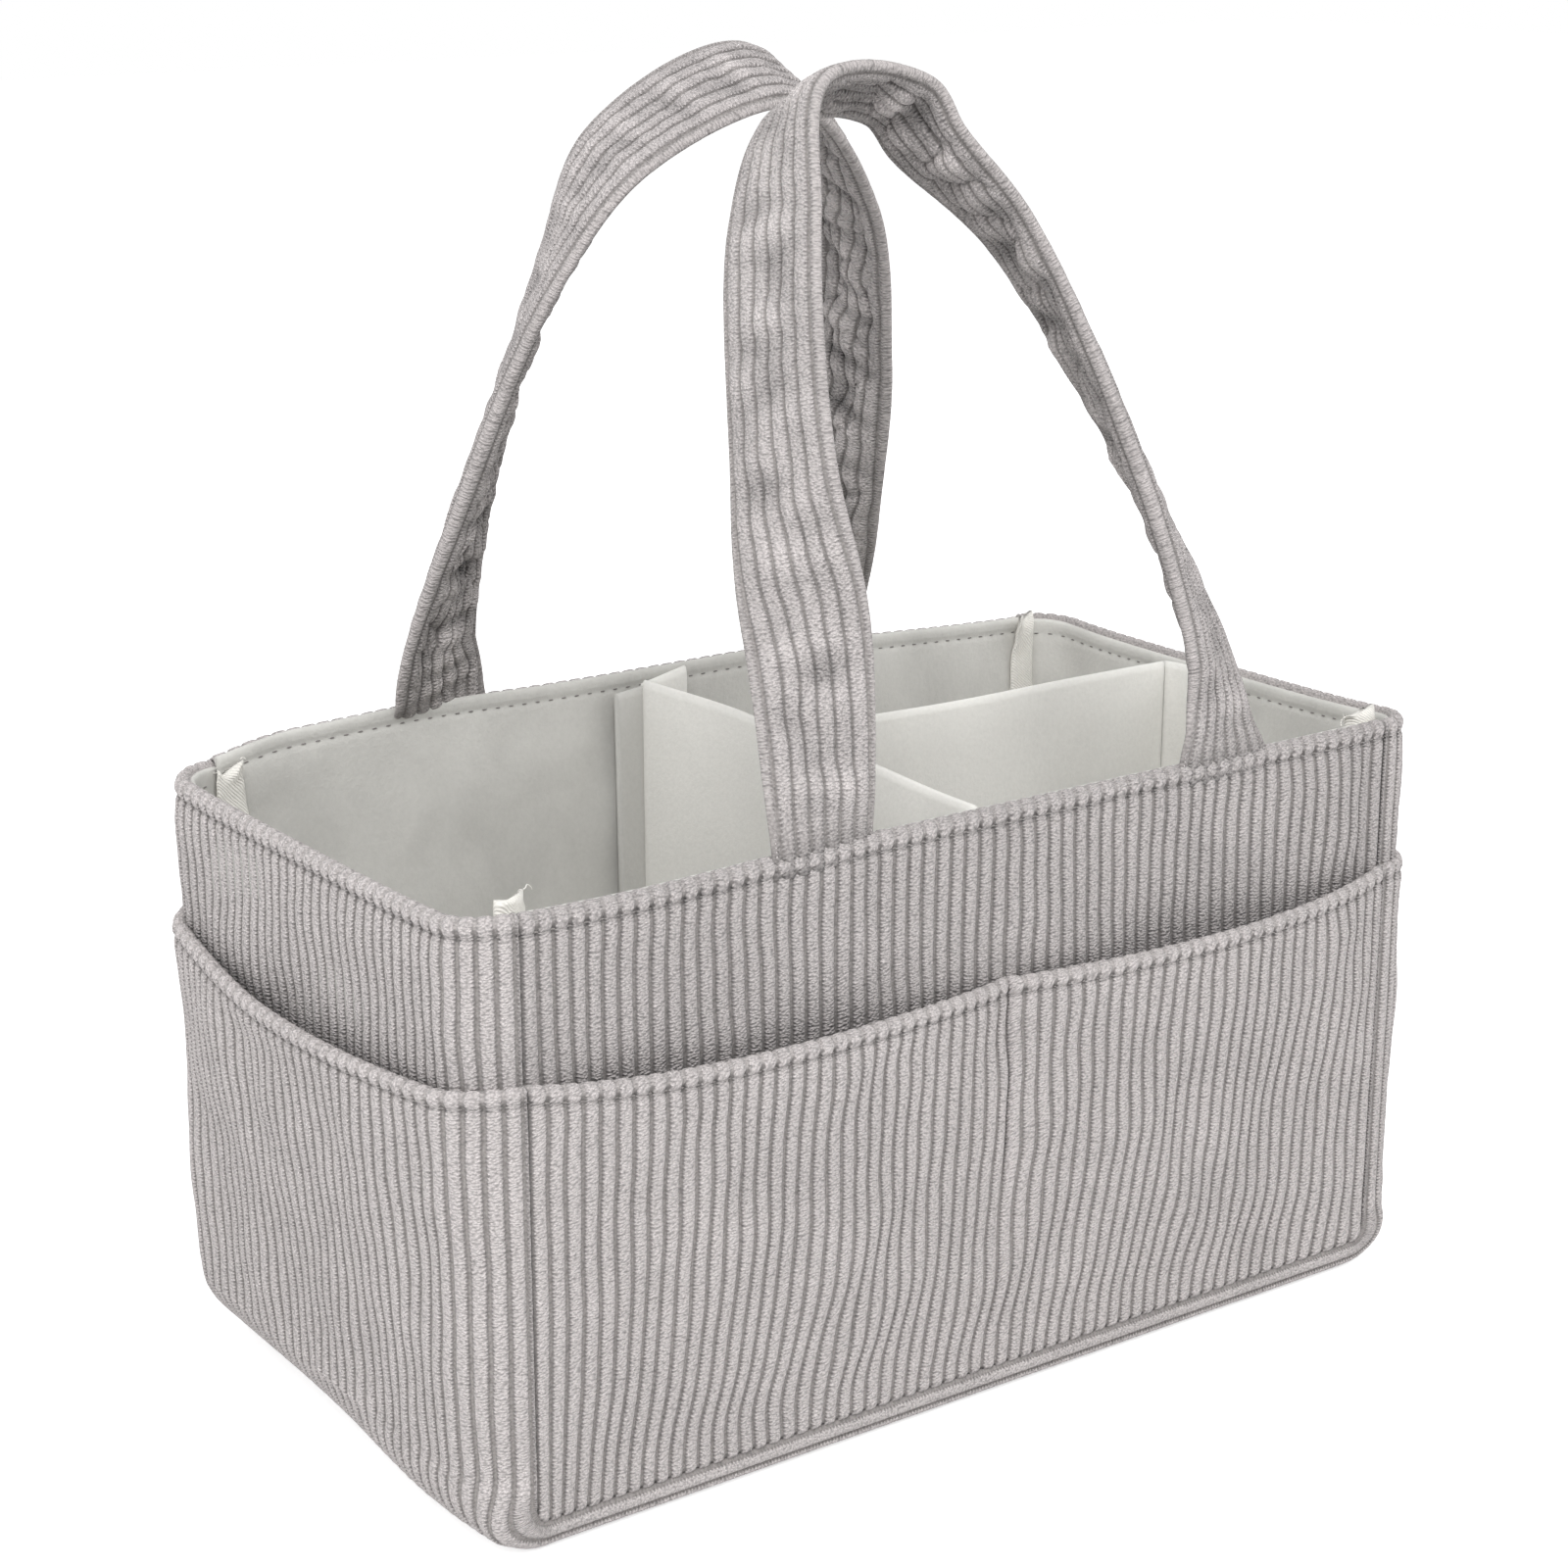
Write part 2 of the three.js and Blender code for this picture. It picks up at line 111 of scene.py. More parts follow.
# Strap loops, close to the frame's: place in half spans, share of the rise and twist in degrees
HANDLE_RISE = 217 * MM
HANDLE_LEAN = 0.35
STRAP_EDGE = 0.7 * MM
LOOPS = {
    "front": [
        (-0.99, 0, 92), (-0.88, 0.24, 68), (-0.84, 0.47, 22), (-0.65, 0.81, 13), (-0.42, 0.97, -7),
        (0.05, 0.96, -3), (0.15, 0.9, 1), (0.47, 0.765, 15), (0.9, 0.38, 40), (1.056, 0.137, 60),
        (1.04, 0.04, 76), (1.02, 0, 89),
    ],
    "back": [
        (-0.98, 0, 89), (-1, 0.04, 79), (-1.04, 0.115, 68), (-0.987, 0.36, 48), (-0.8, 0.7, 29),
        (-0.57, 0.89, 4), (0.1, 0.99, -8), (0.58, 0.81, 4), (0.81, 0.55, 12), (0.87, 0.28, 45), (0.98, 0, 90),
    ],
}

# Creases and bulges of the front and back cloth, in millimetres: place on the wall, tilt in degrees, half
# length, half width and rise
FOLDS = {
    "shell": [
        (-43, 182, 3, 24, 3.5, -1.1), (-54, 176, 5, 22, 6, 0.7), (-88, 184, -4, 18, 4, -0.8),
        (117, 183, 4, 20, 4, -0.9), (150, 172, -8, 26, 8, 1.3), (163, 176, -4, 24, 4, -1.2),
        (30, 172, -12, 24, 9, 0.6),
    ],
    "pocket": [
        (86, 46, 38, 24, 5, 1.0), (98, 52, 38, 26, 4, -0.9), (70, 70, 24, 30, 7, 0.6),
        (-6, 90, -50, 16, 8, 0.9), (-22, 84, -30, 18, 6, -0.7), (-120, 60, 12, 34, 9, 0.6),
        (140, 70, -14, 30, 6, -0.8), (148, 110, 10, 26, 7, 0.8),
    ],
}

# Soft lamps of the stage: place, size and power
LAMPS = {
    "key": ((-0.8, -1.4, 2.0), 1.3, 34),
    "side": ((-2.0, -0.4, 0.9), 1.4, 13),
    "fill": ((1.4, -1.5, 1.6), 1.6, 12),
    "back": ((1.0, 1.9, 1.1), 1.6, 9),
}
CAMERA_PLACE = (-0.595, -0.826, 0.485)
CAMERA_TURN = (-35.33, 16.42, 0.39)  # azimuth, pitch and roll in degrees
CAMERA_LENS = 73.06


# Sizes and colours that a user may change


def a_length(name, description, default):
    """A length in metres."""
    return bpy.props.FloatProperty(name=name, description=description, default=default, unit="LENGTH")


def a_count(name, description, default):
    """A number of ribs."""
    return bpy.props.IntProperty(name=name, description=description, default=default)


def a_colour(name, description, default):
    """A colour."""
    return bpy.props.FloatVectorProperty(
        name=name, description=description, default=default, size=3, subtype="COLOR"
    )


class CaddyCloth(bpy.types.PropertyGroup):
    """Sizes of the ribbed cloth, its hems and its stitches."""

    rib_height: a_length("Rib height", "How far the pile stands above its ground cloth", 1.1 * MM)
    rib_ground: bpy.props.FloatProperty(
        name="Ground share", description="Share of each rib's pitch where the ground cloth shows",
        default=0.23, min=0, max=0.5, subtype="FACTOR",
    )
    wall_ribs: a_count("Wall ribs", "Ribs across the front or back", 64)
    end_ribs: a_count("End ribs", "Ribs across each end", 39)
    strap_ribs: a_count("Strap ribs", "Ribs on each face of a strap", 6)
    rim_stitch: a_length("Rim stitching", "Top stitching below the rim", 5.4 * MM)
    hem_stitch: a_length("Hem stitching", "Top stitching below a pocket's hem", 4.7 * MM)
    stitch_pitch: a_length("Stitch pitch", "Length from one stitch to the next", 5.3 * MM)
    front_ease: a_length("Front ease", "How far a front pocket's mouth stands open", 9.5 * MM)
    side_ease: a_length("Side ease", "How far an end pocket's mouth stands open", 8.5 * MM)
    strap_width: a_length("Strap width", "Width of each handle strap", 37 * MM)
    tape_width: a_length("Tape width", "Width of the tape over the inner seams", 10 * MM)


class CaddyColours(bpy.types.PropertyGroup):
    """Colours of the cloths and threads."""

    pile: a_colour("Pile", "Colour of the corduroy ribs", (0.66, 0.614, 0.608))
    ground: a_colour("Ground", "Colour between the ribs", (0.29, 0.27, 0.262))
    felt: a_colour("Felt", "Colour of the lining", (0.66, 0.652, 0.62))
    board: a_colour("Felt board", "Colour of the dividers", (0.85, 0.84, 0.80))
    tape: a_colour("Tape", "Colour of the cotton tape", (0.88, 0.86, 0.81))
    thread: a_colour("Thread", "Colour of the stitching", (0.42, 0.39, 0.38))
    floor: a_colour("Floor", "Colour of the studio floor", (0.9, 0.9, 0.9))


def cloth():
    """Sizes set for the cloth."""
    return bpy.context.scene.caddy_cloth


def colours():
    """Colours set for the cloths."""
    return bpy.context.scene.caddy_colours


# Numbers


def drift(points, wavelength, seed):
    """A smooth wandering value, about -1 to 1, over points of any dimension."""
    random = np.random.default_rng(seed)
    waves = 7
    total = 0
    for _ in range(waves):
        direction = random.normal(size=points.shape[-1])
        direction /= np.linalg.norm(direction)
        pace = 2 * math.pi / wavelength * random.uniform(0.65, 1.45)
        total = total + np.sin(points @ direction * pace + random.uniform(0, 2 * math.pi))
    return total / 3


def smooth(value, start, end):
    """0 before start, 1 after end, and an S curve between."""
    share = np.clip((value - start) / (end - start), 0, 1)
    return share * share * (3 - 2 * share)


def bell(value, middle, width):
    """1 at the middle, falling off to both sides over the width."""
    return np.exp(-(((value - middle) / width) ** 2))


def roll_in(distance, radius):
    """How deep a cloth's edge rolls into its seam, at a distance from that seam."""
    short = np.clip(radius - distance, 0, radius)
    return radius - np.sqrt(radius**2 - short**2)


def rib_columns(ribs):
    """Places across a cloth, counted in ribs."""
    return np.append((np.arange(ribs)[:, None] + RIB_STEPS).ravel(), ribs)


def columns_across(ribs, inside):
    """Places across a panel, counted in ribs: even ones for the felt inside, which has no ribs."""
    return np.linspace(0, ribs, 2 * ribs + 1) if inside else rib_columns(ribs)


def unit(vectors):
    """Vectors at length 1."""
    return vectors / np.maximum(np.linalg.norm(vectors, axis=-1, keepdims=True), 1e-12)


def lengths_along(points):
    """How far along a line each of its points is."""
    return np.append(0, np.cumsum(np.linalg.norm(np.diff(points, axis=0), axis=-1)))


def curve_through(points, share, power=0.25, open_ends=True):
    """Points of a Catmull-Rom curve at shares of its length: centripetal at power 0.25, even at 0."""
    points = np.asarray(points, float)
    first = 2 * points[0] - points[1] if open_ends else points[0]
    last = 2 * points[-1] - points[-2] if open_ends else points[-1]
    padded = np.vstack([first, points, last])
    place = share * (len(points) - 1)
    index = np.minimum(place.astype(int), len(points) - 2)
    w = (place - index)[:, None]
    p0, p1, p2, p3 = (padded[index + k] for k in range(4))
    d0, d1, d2 = (
        np.maximum(((b - a) ** 2).sum(-1, keepdims=True) ** power, 1e-6)
        for a, b in ((p0, p1), (p1, p2), (p2, p3))
    )
    t1 = ((p1 - p0) / d0 - (p2 - p0) / (d0 + d1) + (p2 - p1) / d1) * d1
    t2 = ((p2 - p1) / d1 - (p3 - p1) / (d1 + d2) + (p3 - p2) / d2) * d1
    w2, w3 = w**2, w**3
    return (2 * w3 - 3 * w2 + 1) * p1 + (w3 - 2 * w2 + w) * t1 + (3 * w2 - 2 * w3) * p2 + (w3 - w2) * t2


def grid_normals(points, facing):
    """Normals of a grid of points, turned to the side that the facing vectors name."""
    normals = unit(np.cross(np.gradient(points, axis=1), np.gradient(points, axis=0)))
    wrong = (normals * facing).sum(-1, keepdims=True) < 0
    flip = -1 if wrong.mean() > 0.5 else 1
    return normals * flip


# Meshes


def make_mesh(name, points, faces, **attributes):
    """A smooth mesh whose faces point out, with a number on each point for every named attribute."""
    mesh = bpy.data.meshes.new(name)
    mesh.from_pydata(points.tolist(), [], faces)
    for key, values in attributes.items():
        marks = mesh.attributes.new(key, "FLOAT", "POINT")
        marks.data.foreach_set("value", np.asarray(values, np.float32))
    mesh.polygons.foreach_set("use_smooth", np.ones(len(mesh.polygons), bool))
    mesh.update()
    corners = np.zeros(3 * len(mesh.loop_triangles), np.int32)
    mesh.loop_triangles.foreach_get("vertices", corners)
    a, b, c = np.moveaxis(points[corners.reshape(-1, 3)], 1, 0)
    if (a * np.cross(b, c)).sum() < 0:
        mesh.flip_normals()
    return mesh


def sheet_mesh(name, face, normals, thickness, skip, **attributes):
    """A closed cloth from its visible face. The back, which nobody sees, keeps only every skip-th column."""
    rows, columns = face.shape[:2]
    kept = np.unique(np.append(np.arange(0, columns, skip), columns - 1))
    back = (face - normals * thickness)[:, kept]
    count = rows * columns
    width = len(kept)
    r, c = np.mgrid[0 : rows - 1, 0 : columns - 1]
    corner = (r * columns + c).ravel()
    quads = np.stack([corner, corner + 1, corner + columns + 1, corner + columns], 1).tolist()
    r, c = np.mgrid[0 : rows - 1, 0 : width - 1]
    corner = (count + r * width + c).ravel()
    quads += np.stack([corner, corner + width, corner + width + 1, corner + 1], 1).tolist()
    last, last_back = (rows - 1) * columns, count + (rows - 1) * width
    for k in range(width - 1):
        spread = list(range(kept[k], kept[k + 1] + 1))
        quads.append([count + k, count + k + 1] + spread[::-1])
        quads.append([last + j for j in spread] + [last_back + k + 1, last_back + k])
    for row in range(rows - 1):
        a, b = row * columns, count + row * width
        quads.append([a, a + columns, b + width, b])
        a, b = a + columns - 1, b + width - 1
        quads.append([a + columns, a, b, b + width])
    points = np.vstack([face.reshape(-1, 3), back.reshape(-1, 3)])
    both = {
        key: np.append(value.ravel(), value[:, kept].ravel() * (key != "loft"))
        for key, value in attributes.items()
    }
    return make_mesh(name, points, quads, **both)


def tube_mesh(name, rings, **attributes):
    """A closed body from rings of points, each ring round its section."""
    rows, columns = rings.shape[:2]
    r, c = np.mgrid[0 : rows - 1, 0:columns]
    here, side = (r * columns + c).ravel(), (r * columns + (c + 1) % columns).ravel()
    faces = np.stack([here, side, side + columns, here + columns], 1).tolist()
    faces.append(list(range(columns))[::-1])
    faces.append(list(range((rows - 1) * columns, rows * columns)))
    marks = {key: value.ravel() for key, value in attributes.items()}
    return make_mesh(name, rings.reshape(-1, 3), faces, **marks)


def stitches_mesh(name, lines, material, pitch, length, thread):
    """A mesh of stitches along several lines of points."""
    points, edges = [], []
    for line in lines:
        start = len(points)
        points += [tuple(p) for p in line]
        edges += [(start + k, start + k + 1) for k in range(len(line) - 1)]
    mesh = bpy.data.meshes.new(name)
    mesh.from_pydata(points, edges, [])
    made = through_nodes(mesh, stitch_tree(), Pitch=pitch, Length=length, Thread=thread, Material=material)
    made.name = name
    return made


def joined(name, meshes):
    """One mesh of several, with their shared attributes."""
    if len(meshes) == 1:
        return meshes[0]
    objects = [add_object(name, mesh) for mesh in meshes]
    with bpy.context.temp_override(
        active_object=objects[0], object=objects[0],
        selected_objects=objects, selected_editable_objects=objects,
    ):
        bpy.ops.object.join()
    mesh = objects[0].data
    bpy.data.objects.remove(objects[0])
    mesh.name = name
    return mesh


def add_object(name, data):
    """A new object at the origin."""
    obj = bpy.data.objects.new(name, data)
    bpy.context.scene.collection.objects.link(obj)
    return obj


def sew(name, mesh, body, material=None, nodes=()):
    """A finished piece that rides on a body and stands for its frame nodes."""
    obj = add_object(name, mesh)
    if material:
        mesh.materials.clear()
        mesh.materials.append(material)
    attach(obj, body)
    if nodes:
        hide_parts(*nodes)
    return obj


def through_nodes(mesh, tree, **values):
    """The mesh that a node tree makes of a mesh, with the tree's inputs set by name."""
    obj = add_object(mesh.name, mesh)
    modifier = obj.modifiers.new(tree.name, "NODES")
    modifier.node_group = tree
    sockets = {item.name: item.identifier for item in tree.interface.items_tree if item.in_out == "INPUT"}
    for key, value in values.items():
        modifier[sockets[key]] = value
    graph = bpy.context.evaluated_depsgraph_get()
    graph.update()
    made = bpy.data.meshes.new_from_object(
        obj.evaluated_get(graph), preserve_all_data_layers=True, depsgraph=graph
    )
    obj.modifiers.remove(modifier)
    bpy.data.objects.remove(obj)
    made.polygons.foreach_set("use_smooth", np.ones(len(made.polygons), bool))
    painted = [material for material in made.materials if material]
    made.materials.clear()
    for material in painted:
        made.materials.append(material)
    made.polygons.foreach_set("material_index", np.zeros(len(made.polygons), np.int32))
    return made


# Node trees


def add_node(tree, kind, inputs=None, **settings):
    """A node with its settings and inputs. An input may be a value or another node's output."""
    node = tree.nodes.new(kind)
    for key, value in settings.items():
        setattr(node, key, value)
    for key, value in (inputs or {}).items():
        if isinstance(value, bpy.types.NodeSocket):
            tree.links.new(value, node.inputs[key])
        else:
            node.inputs[key].default_value = value
    return node


def calc(tree, operation, *values, clamp=False):
    """The result of a Math node."""
    inputs = dict(enumerate(values))
    return add_node(tree, "ShaderNodeMath", inputs, operation=operation, use_clamp=clamp).outputs[0]


def sums(tree):
    """Short names for a tree's Math nodes: plus, minus and times."""
    return [functools.partial(calc, tree, operation) for operation in ("ADD", "SUBTRACT", "MULTIPLY")]


def from_ridge(tree, across):
    """How far a place is from the ridge of its rib, as a share of the rib."""
    return calc(tree, "ABSOLUTE", calc(tree, "SUBTRACT", calc(tree, "FRACT", across), 0.5))


def new_tree(name, kind, inputs, outputs):
    """A node group with named sockets, and its input and output nodes."""
    tree = bpy.data.node_groups.new(name, kind)
    for label, socket, default in inputs:
        item = tree.interface.new_socket(label, in_out="INPUT", socket_type=socket)
        if default is not None:
            item.default_value = default
    for label, socket in outputs:
        tree.interface.new_socket(label, in_out="OUTPUT", socket_type=socket)
    return tree, tree.nodes.new("NodeGroupInput"), tree.nodes.new("NodeGroupOutput")


def geometry_tree(name, sizes):
    """A geometry tree with an input for each named size and one for the material."""
    floats = [(label, "NodeSocketFloat", value) for label, value in sizes.items()]
    return new_tree(
        name, "GeometryNodeTree",
        [("Geometry", "NodeSocketGeometry", None), *floats, ("Material", "NodeSocketMaterial", None)],
        [("Geometry", "NodeSocketGeometry")],
    )


def finish_geometry(tree, geometry, material, output):
    """Ends a geometry tree: instances made real, then the material."""
    real = add_node(tree, "GeometryNodeRealizeInstances", {"Geometry": geometry})
    painted = add_node(tree, "GeometryNodeSetMaterial", {"Geometry": real.outputs[0], "Material": material})
    tree.links.new(painted.outputs[0], output.inputs[0])


def rib_tree():
    """Raises ribs on a cloth from its across and loft attributes, with a smooth pad where it is brushed."""
    if "Raise ribs" in bpy.data.node_groups:
        return bpy.data.node_groups["Raise ribs"]
    sizes = {"Height": 1.3 * MM, "Ground": 0.2, "Fullness": 2.8, "Uneven": 0.35}
    tree, given, made = geometry_tree("Raise ribs", sizes)
    plus, minus, times = sums(tree)
    across, loft, brushed = (
        add_node(tree, "GeometryNodeInputNamedAttribute", {"Name": key}, data_type="FLOAT").outputs[0]
        for key in ("across", "loft", "brushed")
    )
    half = minus(0.5, times(given.outputs["Ground"], 0.5))
    share = calc(tree, "DIVIDE", from_ridge(tree, across), half, clamp=True)
    power = given.outputs["Fullness"]
    round_top = minus(1.0, calc(tree, "POWER", share, power), clamp=True)
    profile = calc(tree, "POWER", round_top, calc(tree, "DIVIDE", 1.0, power))
    tufts = add_node(tree, "ShaderNodeTexNoise", {"Scale": 260.0, "Detail": 2.0, "Roughness": 0.6})
    uneven = times(minus(tufts.outputs[0], 0.5), given.outputs["Uneven"])
    ribs = times(profile, minus(1.0, brushed))
    pile = times(plus(ribs, times(brushed, 0.75)), loft)
    rise = times(times(pile, given.outputs["Height"]), plus(1.0, uneven))
    normal = add_node(tree, "GeometryNodeInputNormal").outputs[0]
    offset = add_node(tree, "ShaderNodeVectorMath", {0: normal, "Scale": rise}, operation="SCALE").outputs[0]
    kept = add_node(
        tree, "GeometryNodeStoreNamedAttribute",
        {"Geometry": given.outputs["Geometry"], "Name": "pile", "Value": pile},
        data_type="FLOAT", domain="POINT",
    )
    moved = add_node(tree, "GeometryNodeSetPosition", {"Geometry": kept.outputs[0], "Offset": offset})
    finish_geometry(tree, moved.outputs[0], given.outputs["Material"], made)
    return tree


def stitch_tree():
    """Lays stitches end to end along lines of points."""
    if "Lay stitches" in bpy.data.node_groups:
        return bpy.data.node_groups["Lay stitches"]
    sizes = {"Pitch": 5.3 * MM, "Length": 4.2 * MM, "Thread": 0.7 * MM}
    tree, given, made = geometry_tree("Lay stitches", sizes)
    line = add_node(tree, "GeometryNodeMeshToCurve", {"Mesh": given.outputs["Geometry"]}).outputs[0]
    spacing = {"Curve": line, "Length": given.outputs["Pitch"]}
    spaced = add_node(tree, "GeometryNodeResampleCurve", spacing, mode="LENGTH")
    tangent = add_node(tree, "GeometryNodeInputTangent").outputs[0]
    turned = add_node(tree, "FunctionNodeAlignRotationToVector", {"Vector": tangent}, axis="Z")
    grain = add_node(tree, "GeometryNodeMeshUVSphere", {"Segments": 6, "Rings": 4, "Radius": 0.5})
    thread = given.outputs["Thread"]
    size = add_node(tree, "ShaderNodeCombineXYZ", {"X": thread, "Y": thread, "Z": given.outputs["Length"]})
    laid = add_node(
        tree, "GeometryNodeInstanceOnPoints",
        {
            "Points": spaced.outputs[0], "Instance": grain.outputs[0], "Rotation": turned.outputs[0],
            "Scale": size.outputs[0],
        },
    )
    finish_geometry(tree, laid.outputs[0], given.outputs["Material"], made)
    return tree


def fibre_group():
    """Shade and height of matted fibres, fine and broad."""
    if "Fibres" in bpy.data.node_groups:
        return bpy.data.node_groups["Fibres"]
    sizes = {"Fine scale": 900.0, "Broad scale": 30.0, "Fine contrast": 0.2, "Broad contrast": 0.1}
    floats = [(label, "NodeSocketFloat", value) for label, value in sizes.items()]
    tree, given, made = new_tree(
        "Fibres", "ShaderNodeTree", [("Vector", "NodeSocketVector", None), *floats],
        [("Shade", "NodeSocketFloat"), ("Height", "NodeSocketFloat")],
    )
    plus, minus, times = sums(tree)
    place = given.outputs["Vector"]
    fine_look = {"Scale": given.outputs["Fine scale"], "Detail": 3.0, "Roughness": 0.65}
    broad_look = {"Scale": given.outputs["Broad scale"], "Detail": 4.0, "Roughness": 0.55, "Distortion": 0.6}
    fine, broad = (
        add_node(tree, "ShaderNodeTexNoise", {"Vector": place, **look}).outputs[0]
        for look in (fine_look, broad_look)
    )
    parts = [
        times(minus(noise, 0.5), given.outputs[contrast])
        for noise, contrast in ((fine, "Fine contrast"), (broad, "Broad contrast"))
    ]
    tree.links.new(plus(1.0, plus(*parts)), made.inputs["Shade"])
    tree.links.new(fine, made.inputs["Height"])
    return tree


def fibres(tree, place, scales, contrasts):
    """Shade and height of the fibres in a material, from their fine and broad scales and contrasts."""
    inputs = {"Vector": place}
    for size, scale, contrast in zip(("Fine", "Broad"), scales, contrasts):
        inputs[f"{size} scale"] = scale
        inputs[f"{size} contrast"] = contrast
    node = add_node(tree, "ShaderNodeGroup", inputs, node_tree=fibre_group())
    return node.outputs["Shade"], node.outputs["Height"]


def attribute(tree, name):
    """A mesh attribute read in a material."""
    return add_node(tree, "ShaderNodeAttribute", attribute_name=name).outputs["Fac"]


def new_material(name, roughness, sheen):
    """A dull cloth material, its tree and its shader."""
    material = bpy.data.materials.new(name)
    material.use_nodes = True
    shader = material.node_tree.nodes["Principled BSDF"]
    shader.inputs["Roughness"].default_value = roughness
    shader.inputs["Specular IOR Level"].default_value = 0.2
    shader.inputs["Sheen Weight"].default_value = sheen
    shader.inputs["Sheen Roughness"].default_value = 0.6
    return material, material.node_tree, shader


def shaded(tree, colour, shade):
    """A colour made lighter or darker by a shade around 1."""
    grey = add_node(tree, "ShaderNodeCombineColor", {"Red": shade, "Green": shade, "Blue": shade}).outputs[0]
    inputs = {"Factor": 1, 6: colour, 7: grey}
    return add_node(tree, "ShaderNodeMix", inputs, data_type="RGBA", blend_type="MULTIPLY").outputs[2]


def bump(tree, shader, height, distance, strength):
    """Relief on a shader's normal."""
    node = add_node(tree, "ShaderNodeBump", {"Height": height, "Distance": distance, "Strength": strength})
    tree.links.new(node.outputs[0], shader.inputs["Normal"])


def corduroy_material():
    """Tufted ribs over a darker ground cloth, smooth where they are brushed, with shade painted into the
    colour where stitches pull the cloth in, in seam crevices and wherever a piece paints more of it.
    """
    if "corduroy_pile" in bpy.data.materials:
        return bpy.data.materials["corduroy_pile"]
    material, tree, shader = new_material("corduroy_pile", 0.95, 0.2)
    plus, minus, times = sums(tree)
    across, along, pile, brushed, pulled, hollow = (
        attribute(tree, key) for key in ("across", "along", "pile", "brushed", "pulled", "hollow")
    )
    rib, tuft_pitch = 5.4 * MM, 1.25 * MM
    spread = {"X": times(across, rib), "Y": times(along, 1.4)}
    place = add_node(tree, "ShaderNodeCombineXYZ", spread).outputs[0]
    matted, height = fibres(tree, place, (800.0, 26.0), (0.9, 0.3))
    cells = add_node(tree, "ShaderNodeTexVoronoi", {"Vector": place, "Scale": 900.0}, voronoi_dimensions="2D")
    grain = minus(0.42, cells.outputs["Distance"])
    # Tufts stand like the teeth of a comb down both sides of each rib.
    row = times(calc(tree, "ABSOLUTE", minus(from_ridge(tree, across), 0.34)), 7.0)
    row = times(minus(1.0, row, clamp=True), minus(1.0, brushed))
    tuft = calc(tree, "SINE", plus(times(along, 2 * math.pi / tuft_pitch), times(height, 4.0)))
    comb = times(tuft, row)
    edge = plus(pile, times(comb, 0.3))
    tone = add_node(tree, "ShaderNodeMapRange", {"Value": edge, "From Min": 0.2, "From Max": 0.65}).outputs[0]
    tone = calc(tree, "MAXIMUM", tone, brushed)
    ends = {"Factor": tone, 6: (*colours().ground, 1), 7: (*colours().pile, 1)}
    both = add_node(tree, "ShaderNodeMix", ends, data_type="RGBA").outputs[2]
    # Painted shade: in stitch dents and seam crevices, deeper where the ground shows, plus the shade that
    # each piece paints.
    deeper_shade = plus(0.14, times(minus(1.0, tone), 0.3))
    painted_shading = plus(times(pulled, deeper_shade), hollow)
    relief = plus(times(comb, 0.16), times(grain, 0.55))
    shade = minus(plus(matted, relief), painted_shading)
    tree.links.new(shaded(tree, both, shade), shader.inputs["Base Color"])
    rough = plus(times(height, 0.6), times(relief, 1.5))
    bump(tree, shader, times(rough, tone), 1.3 * MM, 1.0)
    return material


def felt_material(name, colour, smudge):
    """Pressed felt: matted fibres with faint cloudy smudges."""
    if name in bpy.data.materials:
        return bpy.data.materials[name]
    material, tree, shader = new_material(name, 0.95, 0.2)
    _, minus, times = sums(tree)
    place = add_node(tree, "ShaderNodeTexCoord").outputs["Object"]
    matted, height = fibres(tree, place, (620.0, 24.0), (0.16, smudge))
    tone = times(matted, minus(1.0, attribute(tree, "shade")))
    tree.links.new(shaded(tree, (*colour, 1), tone), shader.inputs["Base Color"])
    bump(tree, shader, height, 0.35 * MM, 0.6)
    return material


def woven_material(name, colour, pitch, roughness=0.9):
    """Fine twill of a tape, thread or stiff cloth: slanting ridges with fibres over them."""
    if name in bpy.data.materials:
        return bpy.data.materials[name]
    material, tree, shader = new_material(name, roughness, 0.1)
    plus, minus, times = sums(tree)
    place = add_node(tree, "ShaderNodeTexCoord").outputs["Object"]
    ridges = {"Vector": place, "Scale": 0.5 / pitch, "Distortion": 1.2, "Detail": 1.0}
    twill = add_node(tree, "ShaderNodeTexWave", ridges, bands_direction="DIAGONAL").outputs["Fac"]
    matted, _ = fibres(tree, place, (800.0, 60.0), (0.2, 0.12))
    shade = plus(matted, times(minus(twill, 0.5), 0.16))
    tree.links.new(shaded(tree, (*colour, 1), shade), shader.inputs["Base Color"])
    bump(tree, shader, twill, 0.3 * MM, 0.6)
    return material


def thread_material(name, colour, lighter):
    """Twisted thread of a colour."""
    return woven_material(name, [min(c * lighter, 0.9) for c in colour], 0.5 * MM)


# Shapes of the basket


def lean(z):
    """How far a wall stands out at a height."""
    return LAYER * z / RIM


def foot_height(x):
    """Foot of a front or back panel, which rises round its lower corners."""
    past = np.clip((np.abs(x) - CORNER_X) / (SEAM_X - CORNER_X), 0, 1)
    return BASE_ROUND - (BASE_ROUND - BASE_SEAM) * (1 - past**4) ** 0.25


def rim_rise(x, side):
    """The back rim stands higher over its left half, and the front one dips near its left end."""
    if side == BACK:
        rise = 6.3 * smooth(x, -188 * MM, -140 * MM) * (1 - smooth(x, 30 * MM, 190 * MM))
        return (rise + 1.7 * bell(x, -95 * MM, 40 * MM)) * MM
    return -1.5 * MM * bell(x, -130 * MM, 45 * MM)


def hem_rise(x, side):
    """A pocket's hem hangs between its side seams, and the back one climbs to its left corner."""
    climb = 5 * MM * smooth(-x, 0.5 * SEAM_X, SEAM_X) * (side == BACK)
    return climb - 5.4 * MM * (1 - np.abs(x / SEAM_X) ** 5)


def end_rim_rise(share, end):
    """The rims of both ends hang a little between their corners."""
    return -2.3 * MM * (1 - share**4)


